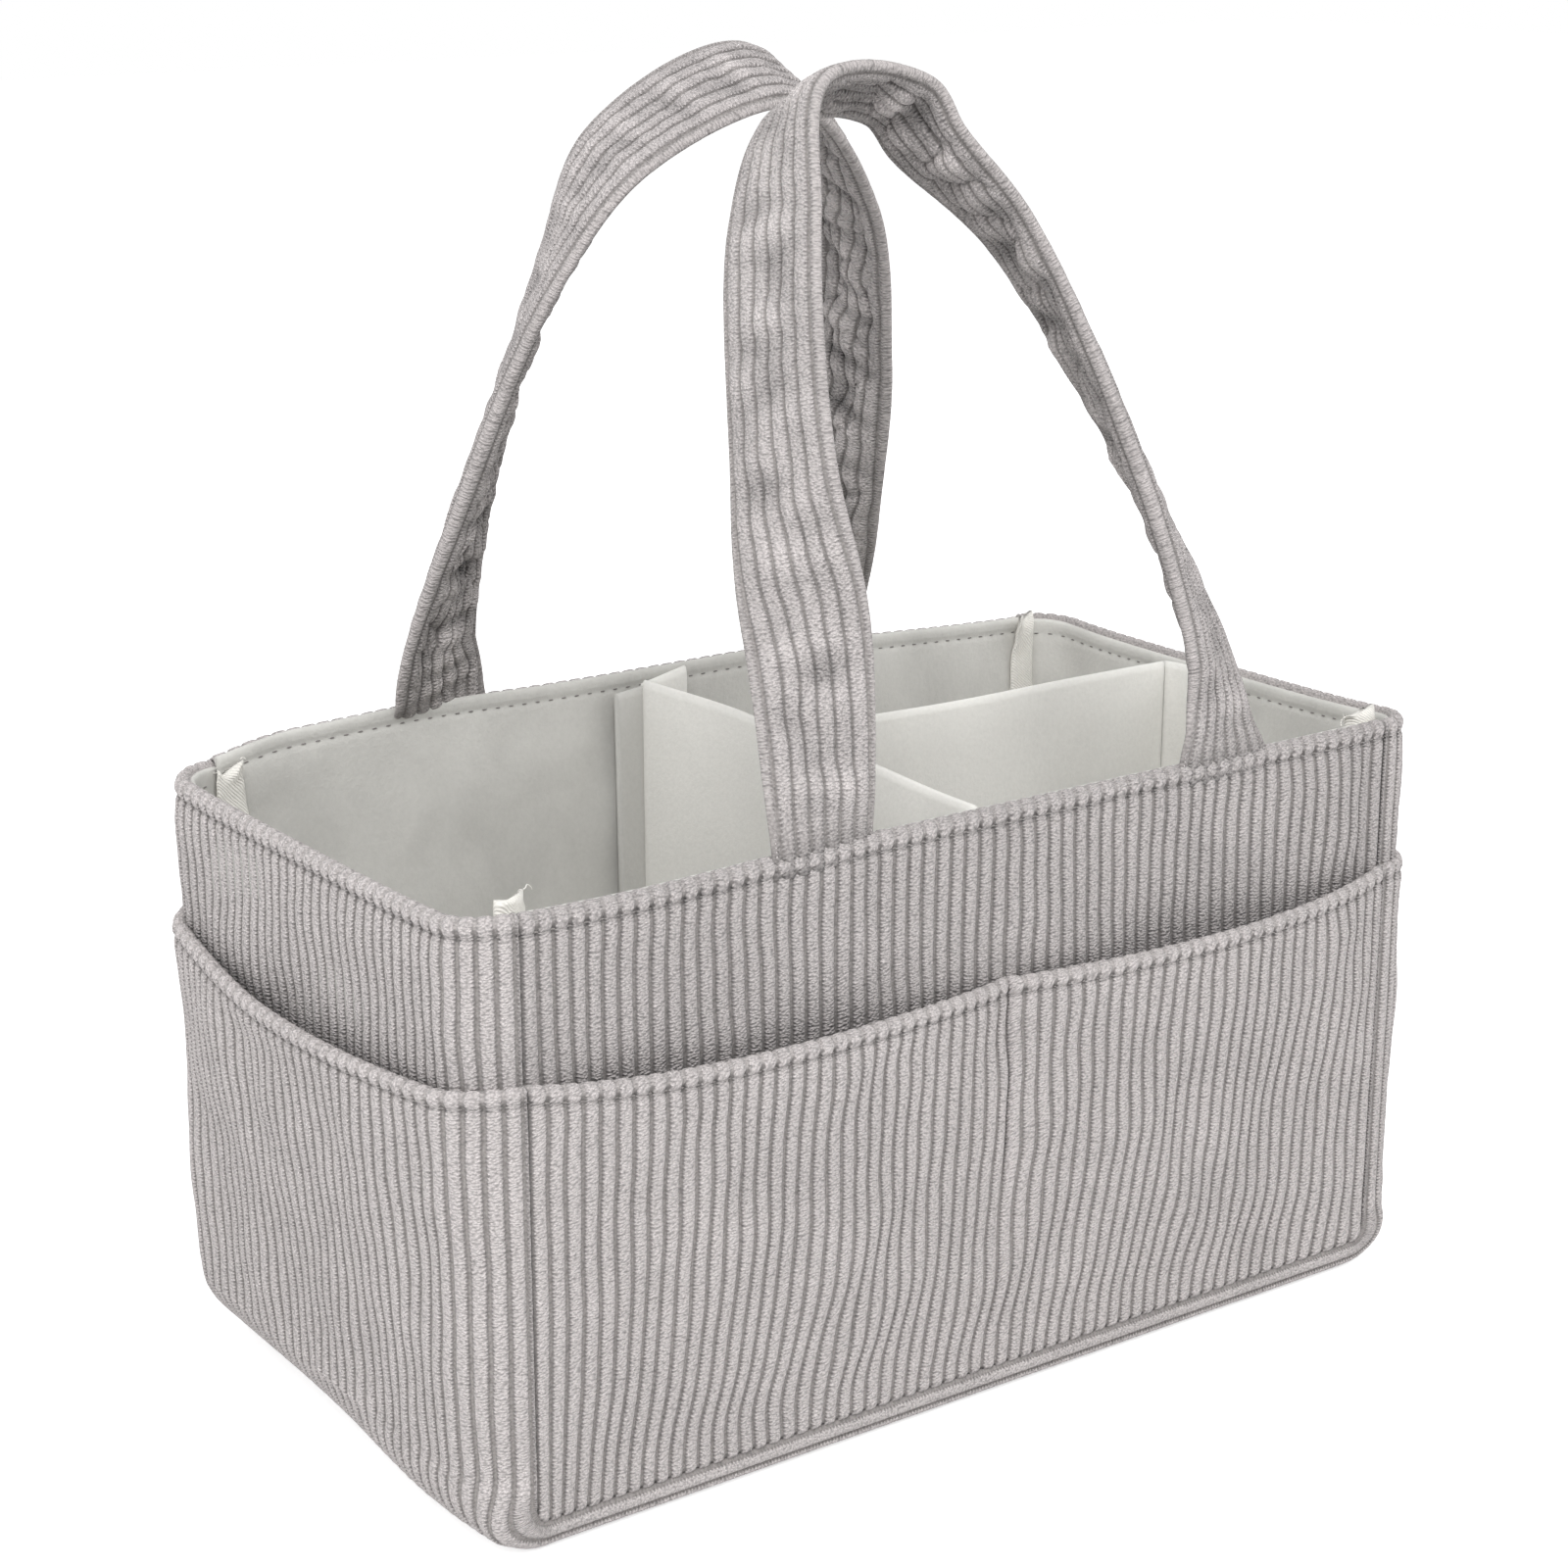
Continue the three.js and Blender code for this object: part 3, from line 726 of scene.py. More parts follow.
def end_hem_rise(share, end):
    """The hems of both end pockets hang, and the left one climbs to its back corner."""
    return 5 * MM * smooth(share, 0.1, 1) * (end < 0) - 4 * MM * (1 - share**2)


def tight_edge(share, edge, drop):
    """How the strip turns under the base, as shares of its drop and steps in from the wall."""
    radius = 5 * MM
    length = share * (drop + edge + (math.pi / 2 - 2) * radius)
    angle = np.clip((length - drop + radius) / radius, 0, math.pi / 2)
    down = np.minimum(length, drop - radius) + radius * np.sin(angle)
    inward = radius * (1 - np.cos(angle)) + np.maximum(length - drop - (math.pi / 2 - 1) * radius, 0)
    return down / drop, inward


def opening(z):
    """How far up a pocket a height is, from its foot to its mouth."""
    return np.clip((z - BASE_ROUND) / (POCKET_TOP - BASE_ROUND), 0, 1)


def pocket_split():
    """Where a line of stitches parts the front pocket, between two ribs near the middle."""
    ribs = cloth().wall_ribs
    return SEAM_X * (2 * round(ribs * 0.516) / ribs - 1)


def front_stand(x, z):
    """How far a front or back pocket's mouth stands open."""
    split = pocket_split()
    left = (x + SEAM_X) / (split + SEAM_X)
    right = (x - split) / (SEAM_X - split)
    along = np.clip(np.where(x < split, left, right), 0, 1)
    return cloth().front_ease * opening(z) * np.sin(math.pi * along) ** 0.7


def side_stand(share, z):
    """How far an end pocket stands off its wall."""
    return cloth().side_ease * opening(z) ** 1.4 * np.clip(1 - share**2, 0, 1)


def no_stand(first, second):
    """A cloth that lies on its wall."""
    return 0 * first * second


def folds(x, z, piece):
    """How far the lasting creases and bulges of a piece stand out at places on its wall."""
    total = 0
    for mark_x, mark_z, tilt, long, wide, rise in FOLDS[piece]:
        over, up = x - mark_x * MM, z - mark_z * MM
        turn = math.radians(tilt)
        across = over * math.cos(turn) + up * math.sin(turn)
        along = up * math.cos(turn) - over * math.sin(turn)
        total = total + rise * MM * bell(across, 0, wide * MM) * bell(along, 0, long * MM)
    return total


def shell_stand(side, x, z):
    """How far the shell's front or back stands off its wall: its creases and bulges."""
    return folds(side * -x, z, "shell")


def pocket_stand(side, x, z):
    """How far a front or back pocket stands off its wall: open, drawn in where it is parted, and creased."""
    drawn_in = 1.1 * MM * bell(x, pocket_split(), 1.8 * MM)
    return front_stand(x, z) - drawn_in + folds(side * -x, z, "pocket")


def behind_hem(z, hem, most, least=0.0):
    """How much darker a wall is just above a pocket's hem, where little light reaches."""
    return least + most * np.exp(-np.clip(z - hem, 0, None) / (9 * MM))


def edge_rows(top, foot, stitch, step, fold):
    """Rows from a cloth's foot to its folded top: drop below the fold, turn round it, and tuck behind it."""
    fine = [0, 1.2, 2.4, 3.6]
    about = [stitch / MM - fold / MM + d for d in (-1.8, -1.1, -0.5, 0, 0.5, 1.1, 1.8, 3)]
    drops = [d for d in fine if d < about[0]] + about
    reach = (top - fold - foot) / MM
    rest = np.arange(drops[-1] + step / MM, reach - 8, step / MM)
    drops = np.array(drops + list(rest) + [reach - d for d in (6.5, 4.5, 3, 1.9, 1.1, 0.5, 0)]) * MM
    turns = np.linspace(0, math.pi, 8)[1:]
    tucks = np.array([1, 2.5]) * MM
    drop = np.concatenate([drops[::-1], np.zeros(len(turns)), tucks])
    turn = np.concatenate([np.zeros(len(drops)), turns, np.full(len(tucks), math.pi)])
    return drop, turn, int(np.argmin(np.abs(drops[::-1] - (stitch - fold))))


def fold_loft(turn):
    """How high the ribs stand round a fold: brushed flat over its top and behind it."""
    return np.interp(turn, [0, 0.9, 1.8, math.pi], [1, 0.9, 0.6, 0.1])


def brushed_flat(from_stitch, reach):
    """How far the pile is brushed flat between a line of stitches and the fold above it."""
    return 0.42 * smooth(-from_stitch / reach, 0.5, 1.0)


def stitched(from_stitch, stitch, on_face, inside):
    """How a line of stitches pinches a cloth, and how far it pulls it in and puffs the hem above it."""
    pinch = bell(from_stitch, 0, 1.3 * MM) * on_face
    puff = bell(from_stitch, -0.55 * stitch, 2.6 * MM) * on_face
    puff_by, pull_by = (0.3, 0.4) if inside else (0.25, 0.6)
    return pinch, puff_by * MM * puff - pull_by * MM * pinch


def held_off(out, inside):
    """Cloth that doesn't pass through its wall."""
    spare = 0.5 * MM
    return np.minimum(out, spare) if inside else np.maximum(out, -spare)


def on_top(face, normals, inside):
    """Where stitches lie on a face."""
    return face + normals * (0.2 if inside else 0.1) * MM


def wall_cloth(side, ribs, top, depth, fold, stitch, step, stand, rise, seed, inside=False):
    """The visible face of a front or back panel, its attributes and its line of stitches.

    Inside is for the lining, which faces the room, and whose fold turns outward."""
    across = columns_across(ribs, inside)
    drop, turn, stitch_row = edge_rows(top, BASE_SEAM, stitch, step, fold)
    drop, turn = drop[:, None], turn[:, None]
    x = np.broadcast_to((SEAM_X - 0.15 * MM) * (2 * across / ribs - 1), (len(drop), len(across)))
    foot = foot_height(x)
    behind = turn > 1.7
    reach = np.where(turn > 0, 1, (top - fold - foot) / (top - fold - BASE_SEAM))
    z = top - fold - np.where(behind, drop, drop * reach) + fold * np.sin(turn)
    from_seam = np.minimum(SEAM_X - np.abs(x), z - foot)
    from_stitch = drop - (stitch - fold)
    on_face = turn == 0
    facing = -1 if inside else 1
    spot = np.stack([x, z], -1)
    loose = np.clip(from_seam / (12 * MM), 0, 1) * smooth(drop, 2 * MM, 14 * MM)
    covered = top > POCKET_TOP and not inside
    if covered:
        loose = loose * smooth(z, POCKET_TOP - 40 * MM, POCKET_TOP)
    out = stand(x, np.minimum(z, top)) + 0.8 * MM * loose * drift(spot, 75 * MM, seed)
    out += 0.35 * MM * loose * drift(spot, 26 * MM, seed + 1)
    pinch, push = stitched(from_stitch, stitch, on_face, inside)
    out = held_off(out, inside) + facing * push
    # The edges roll into their seams, deepest at the foot, where little light reaches.
    beside, above = np.maximum(SEAM_X - np.abs(x), 0), np.maximum(z - foot, 0)
    side_roll, foot_roll = (0.5 * MM, 0.5 * MM) if inside else (0.9 * MM, 2 * MM)
    out -= facing * np.maximum(roll_in(beside, side_roll), roll_in(above, foot_roll)) * on_face
    crevice = bell(above, 0, 1.1 * MM) * on_face
    out -= facing * fold * (1 - np.cos(turn))
    sway = 0.6 * MM * loose * drift(spot, 95 * MM, seed + 2)
    if not (inside or covered):
        # A pocket's ribs wander, and are drawn aside towards the foot, where the cloth bellies out.
        sway += 0.5 * MM * loose * drift(spot, 42 * MM, seed + 3)
        sway += side * 7.5 * MM * (1 - smooth(z, BASE_SEAM, 90 * MM)) * (1 - (x / SEAM_X) ** 6)
        out += 2.2 * MM * bell(z, 42 * MM, 24 * MM) * np.clip(from_seam / (25 * MM), 0, 1)
    z = z + rise(x, side) * smooth(z, 0.5 * top, top - fold)
    face = np.stack([x + sway, side * (HALF_WIDTH - depth + lean(z) + out), z], -1)
    normals = grid_normals(face, np.array([0.0, side * facing, 0.0]))
    loft = 1 - 0.3 * pinch - 0.35 * (1 - np.clip(from_seam / (2 * MM), 0, 1)) * on_face
    # Painted shade on the shell above a pocket: a little all over, most just above the hem.
    shade_paint = behind_hem(z, POCKET_TOP + hem_rise(x, side), 0.22, 0.09) * covered
    return {
        "face": face,
        "normals": normals,
        "across": np.broadcast_to(across, x.shape),
        "along": z - out,
        "loft": np.clip(loft * fold_loft(turn), 0, 1),
        "brushed": np.broadcast_to(brushed_flat(from_stitch, stitch - fold), x.shape),
        # Painted shade in the stitch dents and in the crevice at the foot.
        "pulled": np.maximum(pinch, crevice),
        "hollow": shade_paint + 0.4 * crevice,
        "stitch": on_top(face, normals, inside)[stitch_row],
    }


def strip_rows(top, depth, fold, stitch, step):
    """Rows of the strip, from one folded top, under the base and up to the other, as columns of numbers.

    Each row has its outer line and its seams, and says how it is bent, folded and stitched."""
    drop, turn, stitch_row = edge_rows(top, BASE_ROUND, stitch, step, fold)
    drop, turn = drop[::-1], turn[::-1]
    bends = np.linspace(0, math.pi / 2, 13)[1:]
    flats = np.linspace(0, 1, 9)[1:]

    def rows(leg, corner, base):
        """A number for each row of both halves: the leg, the round corner, and the base to its middle."""
        half = np.concatenate([leg + 0 * drop, corner + 0 * bends, base + 0 * flats])
        return np.concatenate([half, half[::-1][1:]])[:, None]

    leg_z = top - fold - drop + fold * np.sin(turn)
    radius = BASE_ROUND - depth
    base_x = CORNER_X * (1 - flats)
    round_x = CORNER_X + (SEAM_X - CORNER_X) * np.sqrt(np.maximum(np.cos(bends), 0))
    round_z = BASE_ROUND - (BASE_ROUND - BASE_SEAM) * np.sqrt(np.sin(bends))
    count = len(drop) + len(bends) + len(flats)
    return SimpleNamespace(
        out_x=rows(HALF_LENGTH - depth, CORNER_X + radius * np.cos(bends), base_x),
        out_z=rows(leg_z, BASE_ROUND - radius * np.sin(bends), depth),
        seam_x=rows(SEAM_X, round_x, base_x),
        seam_z=rows(leg_z, round_z, BASE_SEAM),
        end=np.repeat([-1.0, 1.0], [count, count - 1])[:, None],
        bend=rows(0, bends, math.pi / 2),
        folded=rows(fold * (1 - np.cos(turn)), 0, 0),
        loft=rows(fold_loft(turn), 1, 1),
        is_leg=rows(1, 0, 0) > 0,
        on_face=rows(turn == 0, 1, 1) > 0,
        from_stitch=rows(drop - (stitch - fold), 1, 1),
        stitch_row=len(drop) - 1 - stitch_row,
    )


def strip_columns(ribs, depth, inside):
    """Columns of the strip, round both of its edges. Outside, the edges are bare next to the seams."""
    across = columns_across(ribs, inside)
    edge = CORNER_ROUND - depth
    arc = edge * math.pi / 2
    flat = 2 * (HALF_WIDTH - CORNER_ROUND)
    whole = 2 * arc + flat
    bare = 0 if inside else 1.5 * MM
    place = bare + across / ribs * (whole - 2 * bare)
    if not inside:
        across = np.pad(across, 2, mode="edge")
        place = np.concatenate([[0, bare / 2], place, [whole - bare / 2, whole]])
    place = place[None, :]
    from_edge = np.minimum(place, whole - place)
    return SimpleNamespace(
        across=across,
        place=place,
        edge=edge,
        from_edge=from_edge,
        edge_share=np.minimum(from_edge / arc, 1),
        flat_share=np.clip((place - arc) / flat, 0, 1) * 2 - 1,
        side=np.where(place < arc + flat / 2, -1, 1),
    )


def strip_cloth(ribs, top, depth, fold, stitch, step, stand, rise, seed, inside=False):
    """The visible face of the strip that runs down one end, under the base and up the other end."""
    facing = -1 if inside else 1
    rows = strip_rows(top, depth, fold, stitch, step)
    end, bend, is_leg, on_face, from_stitch = rows.end, rows.bend, rows.is_leg, rows.on_face, rows.from_stitch
    columns = strip_columns(ribs, depth, inside)
    edge, from_edge, side = columns.edge, columns.from_edge, columns.side
    round_turn = columns.edge_share * math.pi / 2
    reach, step_in = np.sin(round_turn), edge * (1 - np.cos(round_turn))
    if not inside:
        under = smooth(bend, 0, 0.9)
        tight, tight_in = tight_edge(columns.edge_share, edge, BASE_SEAM - depth)
        reach, step_in = reach + under * (tight - reach), step_in + under * (tight_in - step_in)
    x = rows.seam_x + (rows.out_x - rows.seam_x) * reach
    z = rows.seam_z + (rows.out_z - rows.seam_z) * reach
    half = HALF_WIDTH - depth + lean(z)
    y = np.where(round_turn < math.pi / 2, side * (half - step_in), columns.flat_share * (half - edge))
    if not inside:
        # The round of each end lies slacker towards the back, and the left one is full near the front.
        slack = 1.8 * (1 + y / half) - 3.5 * bell(y / half, -0.6, 0.45) * (end < 0)
        slack = slack * MM * np.sin(2 * bend) * reach
        x, z = x - slack * np.cos(bend), z + slack * np.sin(bend)

    spot = np.stack(np.broadcast_arrays(columns.place, z + 0.4 * end, end), -1)
    loose = is_leg * np.clip(from_edge / (14 * MM), 0, 1) * smooth(from_stitch, 0, 12 * MM)
    covered = top > POCKET_TOP and not inside
    if covered:
        loose = loose * smooth(z, POCKET_TOP - 40 * MM, POCKET_TOP)
    out = np.where(is_leg, stand(y / half, np.minimum(z, top)), 0.0) * reach
    out = out + 1.1 * MM * loose * drift(spot, 60 * MM, seed)
    out = out + 0.35 * MM * loose * drift(spot, 24 * MM, seed + 1)
    pinch, push = stitched(from_stitch, stitch, on_face * is_leg, inside)
    out = held_off(out, inside) + facing * push
    turned = facing * rows.folded
    edge_roll = 0.5 * MM if inside else (0.9 + 1.1 * smooth(bend, 0.3, 1.2)) * MM
    roll = facing * roll_in(from_edge, edge_roll) * on_face
    x = x + (0.3 * lean(z) * is_leg + out - turned) * reach
    y = y - side * (turned * np.cos(round_turn) + roll)
    lift = 0.8 * MM * (1 - smooth(z, 0, BASE_ROUND)) * (not inside)
    lift = lift + is_leg * rise(y / half, end) * smooth(z, 0.5 * top, top - fold)
    face = np.stack([end * x, y, z + lift], -1)
    outward = np.broadcast_arrays(end * is_leg * reach, side * np.cos(round_turn), -1.0 * ~is_leg)
    normals = grid_normals(face, facing * np.stack(outward, -1))
    loft = 1 - 0.3 * pinch - 0.3 * (1 - np.clip(from_edge / (2 * MM), 0, 1)) * on_face
    across = columns.across + 0 * z
    if not inside:
        # Up the corners pile covers the bare edges. A thin line of painted shade stays along the seams.
        across[:, 1:2] -= 0.35 * (1 - under)
        across[:, -2:-1] += 0.35 * (1 - under)
        pinch = np.maximum(pinch, from_edge == 0)
    raised = on_top(face, normals, inside)
    return {
        "face": face,
        "normals": normals,
        "across": across,
        "along": lengths_along(face[:, z.shape[1] // 2])[:, None] + 0 * z,
        "loft": np.clip(loft * rows.loft + 0 * z, 0, 1),
        "brushed": np.broadcast_to(brushed_flat(from_stitch, stitch - fold) * is_leg, z.shape),
        "pulled": np.broadcast_to(pinch, z.shape),
        # Painted shade on the shell just above an end pocket's hem.
        "hollow": behind_hem(z, POCKET_TOP + end_hem_rise(y / half, end), 0.24) * covered,
        "stitch": raised[rows.stitch_row],
        "far_stitch": raised[-1 - rows.stitch_row],
    }


def ribbed(name, made, node):
    """A corduroy piece from its face: ribs raised and sewn to the basket."""
    sizes = cloth()
    marks = {key: made[key] for key in ("across", "along", "loft", "brushed", "pulled", "hollow")}
    base = sheet_mesh(name, made["face"], made["normals"], CLOTH, 5, **marks)
    looks = {"Height": sizes.rib_height, "Ground": sizes.rib_ground, "Material": corduroy_material()}
    mesh = through_nodes(base, rib_tree(), **looks)
    mesh.name = name
    piece = sew(name, mesh, "basket", nodes=[node])


def split_line(made):
    """The line of stitches that parts a front or back pocket, from its foot to its hem."""
    column = int(np.argmin(np.abs(made["face"][0, :, X] - pocket_split())))
    return made["face"][6:-10, column] + made["normals"][6:-10, column] * 0.5 * MM


# Operators


class CADDY_OT_shell(bpy.types.Operator):
    """Sews the corduroy shell: front, back and the strip of ends and base"""

    bl_idname = "caddy.shell"
    bl_label = "Shell"

    def execute(self, context):
        sizes = cloth()
        depth = LAYER + CLOTH
        hem = (RIM_FOLD, sizes.rim_stitch)
        for name, side in WALLS:
            stand = functools.partial(shell_stand, side)
            top = RIM - 1.2 * MM * (side == BACK)
            ribs = sizes.wall_ribs - 2
            made = wall_cloth(side, ribs, top, depth, *hem, WALL_ROWS, stand, rim_rise, 11 + side)
            ribbed(f"shell_{name}_cloth", made, f"shell_{name}")
            SEAMS["cloth"].append(made["stitch"])
        made = strip_cloth(sizes.end_ribs, RIM, depth, *hem, SHELL_END_ROWS, no_stand, end_rim_rise, 21)
        ribbed("shell_gusset_cloth", made, "shell_gusset")
        SEAMS["cloth"] += [made["stitch"], made["far_stitch"]]
        return {"FINISHED"}


class CADDY_OT_pockets(bpy.types.Operator):
    """Sews the outer pockets: front, back and the strip of end pockets and base"""

    bl_idname = "caddy.pockets"
    bl_label = "Pockets"

    def execute(self, context):
        sizes = cloth()
        hem = (HEM_FOLD, sizes.hem_stitch)
        for name, side in WALLS:
            stand = functools.partial(pocket_stand, side)
            ribs = sizes.wall_ribs
            made = wall_cloth(side, ribs, POCKET_TOP, CLOTH, *hem, WALL_ROWS, stand, hem_rise, 31 + side)
            ribbed(f"pocket_{name}_cloth", made, f"pocket_{name}")
            SEAMS["cloth"] += [made["stitch"], split_line(made)]
        made = strip_cloth(sizes.end_ribs, POCKET_TOP, CLOTH, *hem, WALL_ROWS, side_stand, end_hem_rise, 41)
        ribbed("pocket_gusset_cloth", made, "pocket_gusset")
        SEAMS["cloth"] += [made["stitch"], made["far_stitch"]]
        return {"FINISHED"}


class CADDY_OT_lining(bpy.types.Operator):
    """Sews the felt lining: front, back and the strip of ends and base"""

    bl_idname = "caddy.lining"
    bl_label = "Felt lining"

    def execute(self, context):
        felt = felt_material("felt_lining", colours().felt, 0.5)
        cut = (ROOM_IN, FELT_FOLD, cloth().rim_stitch, FELT_ROWS, no_stand)
        for name, side in WALLS:
            made = wall_cloth(side, 75, RIM - 0.2 * MM, *cut, rim_rise, 51 + side, inside=True)
            self.line(f"lining_{name}_felt", made, f"lining_{name}", (0.36, 0.21), felt)
        made = strip_cloth(50, RIM - 1.4 * MM, *cut, end_rim_rise, 61, inside=True)
        self.line("lining_gusset_felt", made, "lining_gusset", (0.21, 0.74), felt)
        SEAMS["felt"].append(made["far_stitch"])
        return {"FINISHED"}

    def line(self, name, made, node, flat, felt):
        """One felt piece from its face. Less light reaches the left room."""
        shade = 0.06 * (1 - smooth(made["face"][..., X], -60 * MM, 60 * MM))
        mesh = sheet_mesh(name, made["face"], made["normals"], FELT, 2, shade=shade)
        piece = sew(name, mesh, "basket", felt, [node])
        SEAMS["felt"].append(made["stitch"])


class CADDY_OT_handles(bpy.types.Operator):
    """Makes both strap handles and their sewn-in ends"""

    bl_idname = "caddy.handles"
    bl_label = "Strap handles"

    def execute(self, context):
        for name, side in WALLS:
            self.strap(name, side)
            for end in ("left", "right"):
                self.tail(name, side, end)
        return {"FINISHED"}

    def path(self, name, side):
        """A strap's middle line, from behind the rim to behind the rim, and the way that its width runs."""
        tails = [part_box(f"handle_{name}_tail_{end}") for end in ("left", "right")]
        feet = [sum(box[k][X] for k in (0, 1)) / 2 for box in tails]
        half_span, shift = (feet[1] - feet[0]) / 2, (feet[0] + feet[1]) / 2
        foot_y = HALF_WIDTH - 4.3 * MM + lean(RIM)
        loop = np.array(LOOPS[name])
        rise = loop[:, 1] * HANDLE_RISE
        x, y = shift + loop[:, 0] * half_span, side * (foot_y - HANDLE_LEAN * rise)
        share = np.linspace(0, 1, 420)
        centre = curve_through(np.stack([x, y, RIM + 0.3 * MM + rise], 1), share)
        twist = curve_through(loop[:, 2:], share, 0, open_ends=False)[:, 0]
        along = unit(np.gradient(centre, axis=0))
        upright = UP * np.where(share < 0.5, 1, -1)[:, None]
        free = smooth(centre[:, Z], RIM, RIM + 16 * MM)[:, None]
        along = unit(upright * (1 - free) + along * free)
        # Both ends go on down behind the rim.
        down = np.array([7, 4.5, 2])[:, None] * MM
        centre = np.vstack([centre[0] - down * UP, centre, (centre[-1] - down * UP)[::-1]])
        more = len(down)
        along = np.pad(along, ((more, more), (0, 0)), mode="edge")
        angle = np.radians(np.pad(twist, more, mode="edge")) * -side
        loop_normal = unit(np.array([0, -1.0, -side * HANDLE_LEAN]))
        near = unit(loop_normal - along * (along @ loop_normal)[:, None])
        inward = np.cross(along, near)
        wide = near * np.cos(angle)[:, None] + inward * np.sin(angle)[:, None]
        return centre, along, wide, more

    def strap(self, name, side):
        """One strap: its ribbed section along its path, and the tufts along its edges."""
        sizes = cloth()
        centre, along, wide, more = self.path(name, side)
        length = lengths_along(centre)[:, None]
        thick = np.cross(wide, along)
        inner = -1 if thick[len(thick) // 2, Z] > 0 else 1
        # The section goes round both faces: ribs between two smooth, thinner edges.
        half = sizes.strap_width / 2
        band = 2.2 * MM
        ribs = sizes.strap_ribs
        across = rib_columns(ribs)
        edge = half - np.array([STRAP_EDGE, 1.3 * MM, 1.9 * MM])
        tip = half + np.array([0, 0.3, 0]) * MM
        face = np.concatenate([edge, (half - band) * (1 - 2 * across / ribs), -edge[::-1]])
        w = np.concatenate([face, -tip, face[::-1], tip])
        tip_sign = np.array([0.6, 0, -0.6])
        sign = np.concatenate([np.ones(len(face)), tip_sign, -np.ones(len(face)), -tip_sign])
        # Half a rib wraps each edge from either face.
        wrap, crest = np.array([0.28, 0.16, 0.04]), np.array([0.4, 0.5, 0.4])
        rib_place = np.concatenate([-wrap, across, ribs + wrap[::-1]])
        place = np.concatenate([rib_place, ribs + crest, rib_place[::-1], -crest])
        marks = np.pad(np.zeros(len(across)), 3, constant_values=1)
        smooth_edge = np.concatenate([marks, np.ones(3), marks, np.ones(3)])
        # The layers part a little where the legs turn edge on, and are pressed flat in the rim.
        tall = centre[:, Z][:, None]
        swell = 0.55 + 0.45 * smooth(tall, RIM, RIM + 25 * MM)
        swell = swell * (1 + 0.45 * bell(tall, RIM + 90 * MM, 50 * MM))

        def layers(w):
            """Half the strap's thickness at a place across it."""
            return (0.95 * MM + 1.25 * MM * (1 - np.minimum(np.abs(w / half), 1) ** 5)) * swell

        # The cloth of the inner face is too long for its curve, so it puckers.
        is_inner = sign * inner > 0
        spot = np.stack(np.broadcast_arrays(length, w[None, :], 0.3 * is_inner[None, :]), -1)
        give = np.clip(1 - (w / (half - 1 * MM)) ** 2, 0, 1)
        calm = smooth(tall, RIM + 2 * MM, RIM + 20 * MM)
        sway = give * np.where(is_inner, 2.2 * MM, 0.7 * MM) * drift(spot * [1, 0.8, 1], 24 * MM, 71 + side)
        rumple = give * drift(spot * [1, 0.55, 1], 13 * MM, 75 + side)
        ripple = np.where(is_inner, 1.5 * MM, 0.7 * MM) * rumple
        pucker = bell(drift(spot, 24 * MM, 79 + side), 0, 0.16)
        crease = give * np.where(is_inner, 2.0 * MM, 0.4 * MM) * pucker
        t = sign * np.maximum(layers(w) + (ripple - crease) * calm, 0.3 * MM)
        section = (w + sway * calm)[..., None] * wide[:, None] + t[..., None] * thick[:, None]
        # Painted shade on the strap: a little all over and more on its inner face. It is darker in the
        # hollows of its ripples, lighter on their crests, and darkest where it goes into the rim.
        rim_shadow = 1 - smooth(tall, RIM - 1 * MM, RIM + 6 * MM)
        shade_paint = np.where(is_inner, 0.2, 0.1) - np.where(is_inner, 0.3, 0.18) * rumple * calm + 0.22 * rim_shadow
        grown = functools.partial(np.broadcast_to, shape=t.shape)
        base = tube_mesh(
            f"strap_{name}", centre[:, None] + section, across=grown(place), along=grown(length),
            loft=grown((0.92 - 0.35 * smooth_edge) * (0.5 + 0.5 * calm)), brushed=grown(0.2 * smooth_edge),
            hollow=grown(shade_paint),
        )
        looks = {"Height": 1.25 * MM, "Ground": 0.6 * sizes.rib_ground, "Material": corduroy_material()}
        mesh = through_nodes(base, rib_tree(), **looks)
        mesh.name = f"strap_{name}"
        piece = self.hinged(f"strap_{name}", mesh, f"{name}_handle")
        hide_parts(f"handle_{name}")
        edges = []
        for edge_side in (1, -1):
            for face_side in (1, -1):
                beside = wide * edge_side * (half - STRAP_EDGE)
                offset = beside + thick * face_side * (layers(half - STRAP_EDGE) + 0.1 * MM)
                edges.append((centre + offset)[more:-more])
        tufts = thread_material("edge_tufts", colours().pile, 1.06)
        dots = stitches_mesh(f"strap_{name}_edging", edges, tufts, 1.3 * MM, 0.95 * MM, 0.6 * MM)
        self.hinged(f"strap_{name}_edging", dots, f"{name}_handle")

    def hinged(self, name, mesh, body):
        """A piece of a strap, as an object with its transform baked."""
        piece = add_object(name, mesh)
        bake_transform(piece)
        return piece

    def tail(self, name, side, end):
        """The strap's end, sewn in between shell and lining."""
        node = f"handle_{name}_tail_{end}"
        (x0, _, z0), (x1, _, z1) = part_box(node)
        z = np.linspace(z0, z1 - 2 * MM, 8)[:, None]
        x = np.linspace(x0, x1, 61)[None, :]
        y = side * (HALF_WIDTH - 4.9 * MM + lean(z))
        face = np.stack(np.broadcast_arrays(x, y, z), -1)
        normals = np.broadcast_to(np.array([0, side, 0.0]), face.shape)
        across = np.broadcast_to(np.linspace(0, 6, 61)[None, :], face.shape[:2])
        marks = {"across": across, "along": np.broadcast_to(z, across.shape), "loft": 0.4 + 0 * across}
        base = sheet_mesh(node, face, normals, 1.6 * MM, 6, **marks)
        mesh = through_nodes(base, rib_tree(), Height=0.6 * MM, Material=corduroy_material())
        mesh.name = f"strap_{name}_end_{end}"
        sew(f"strap_{name}_end_{end}", mesh, "basket", nodes=[node])


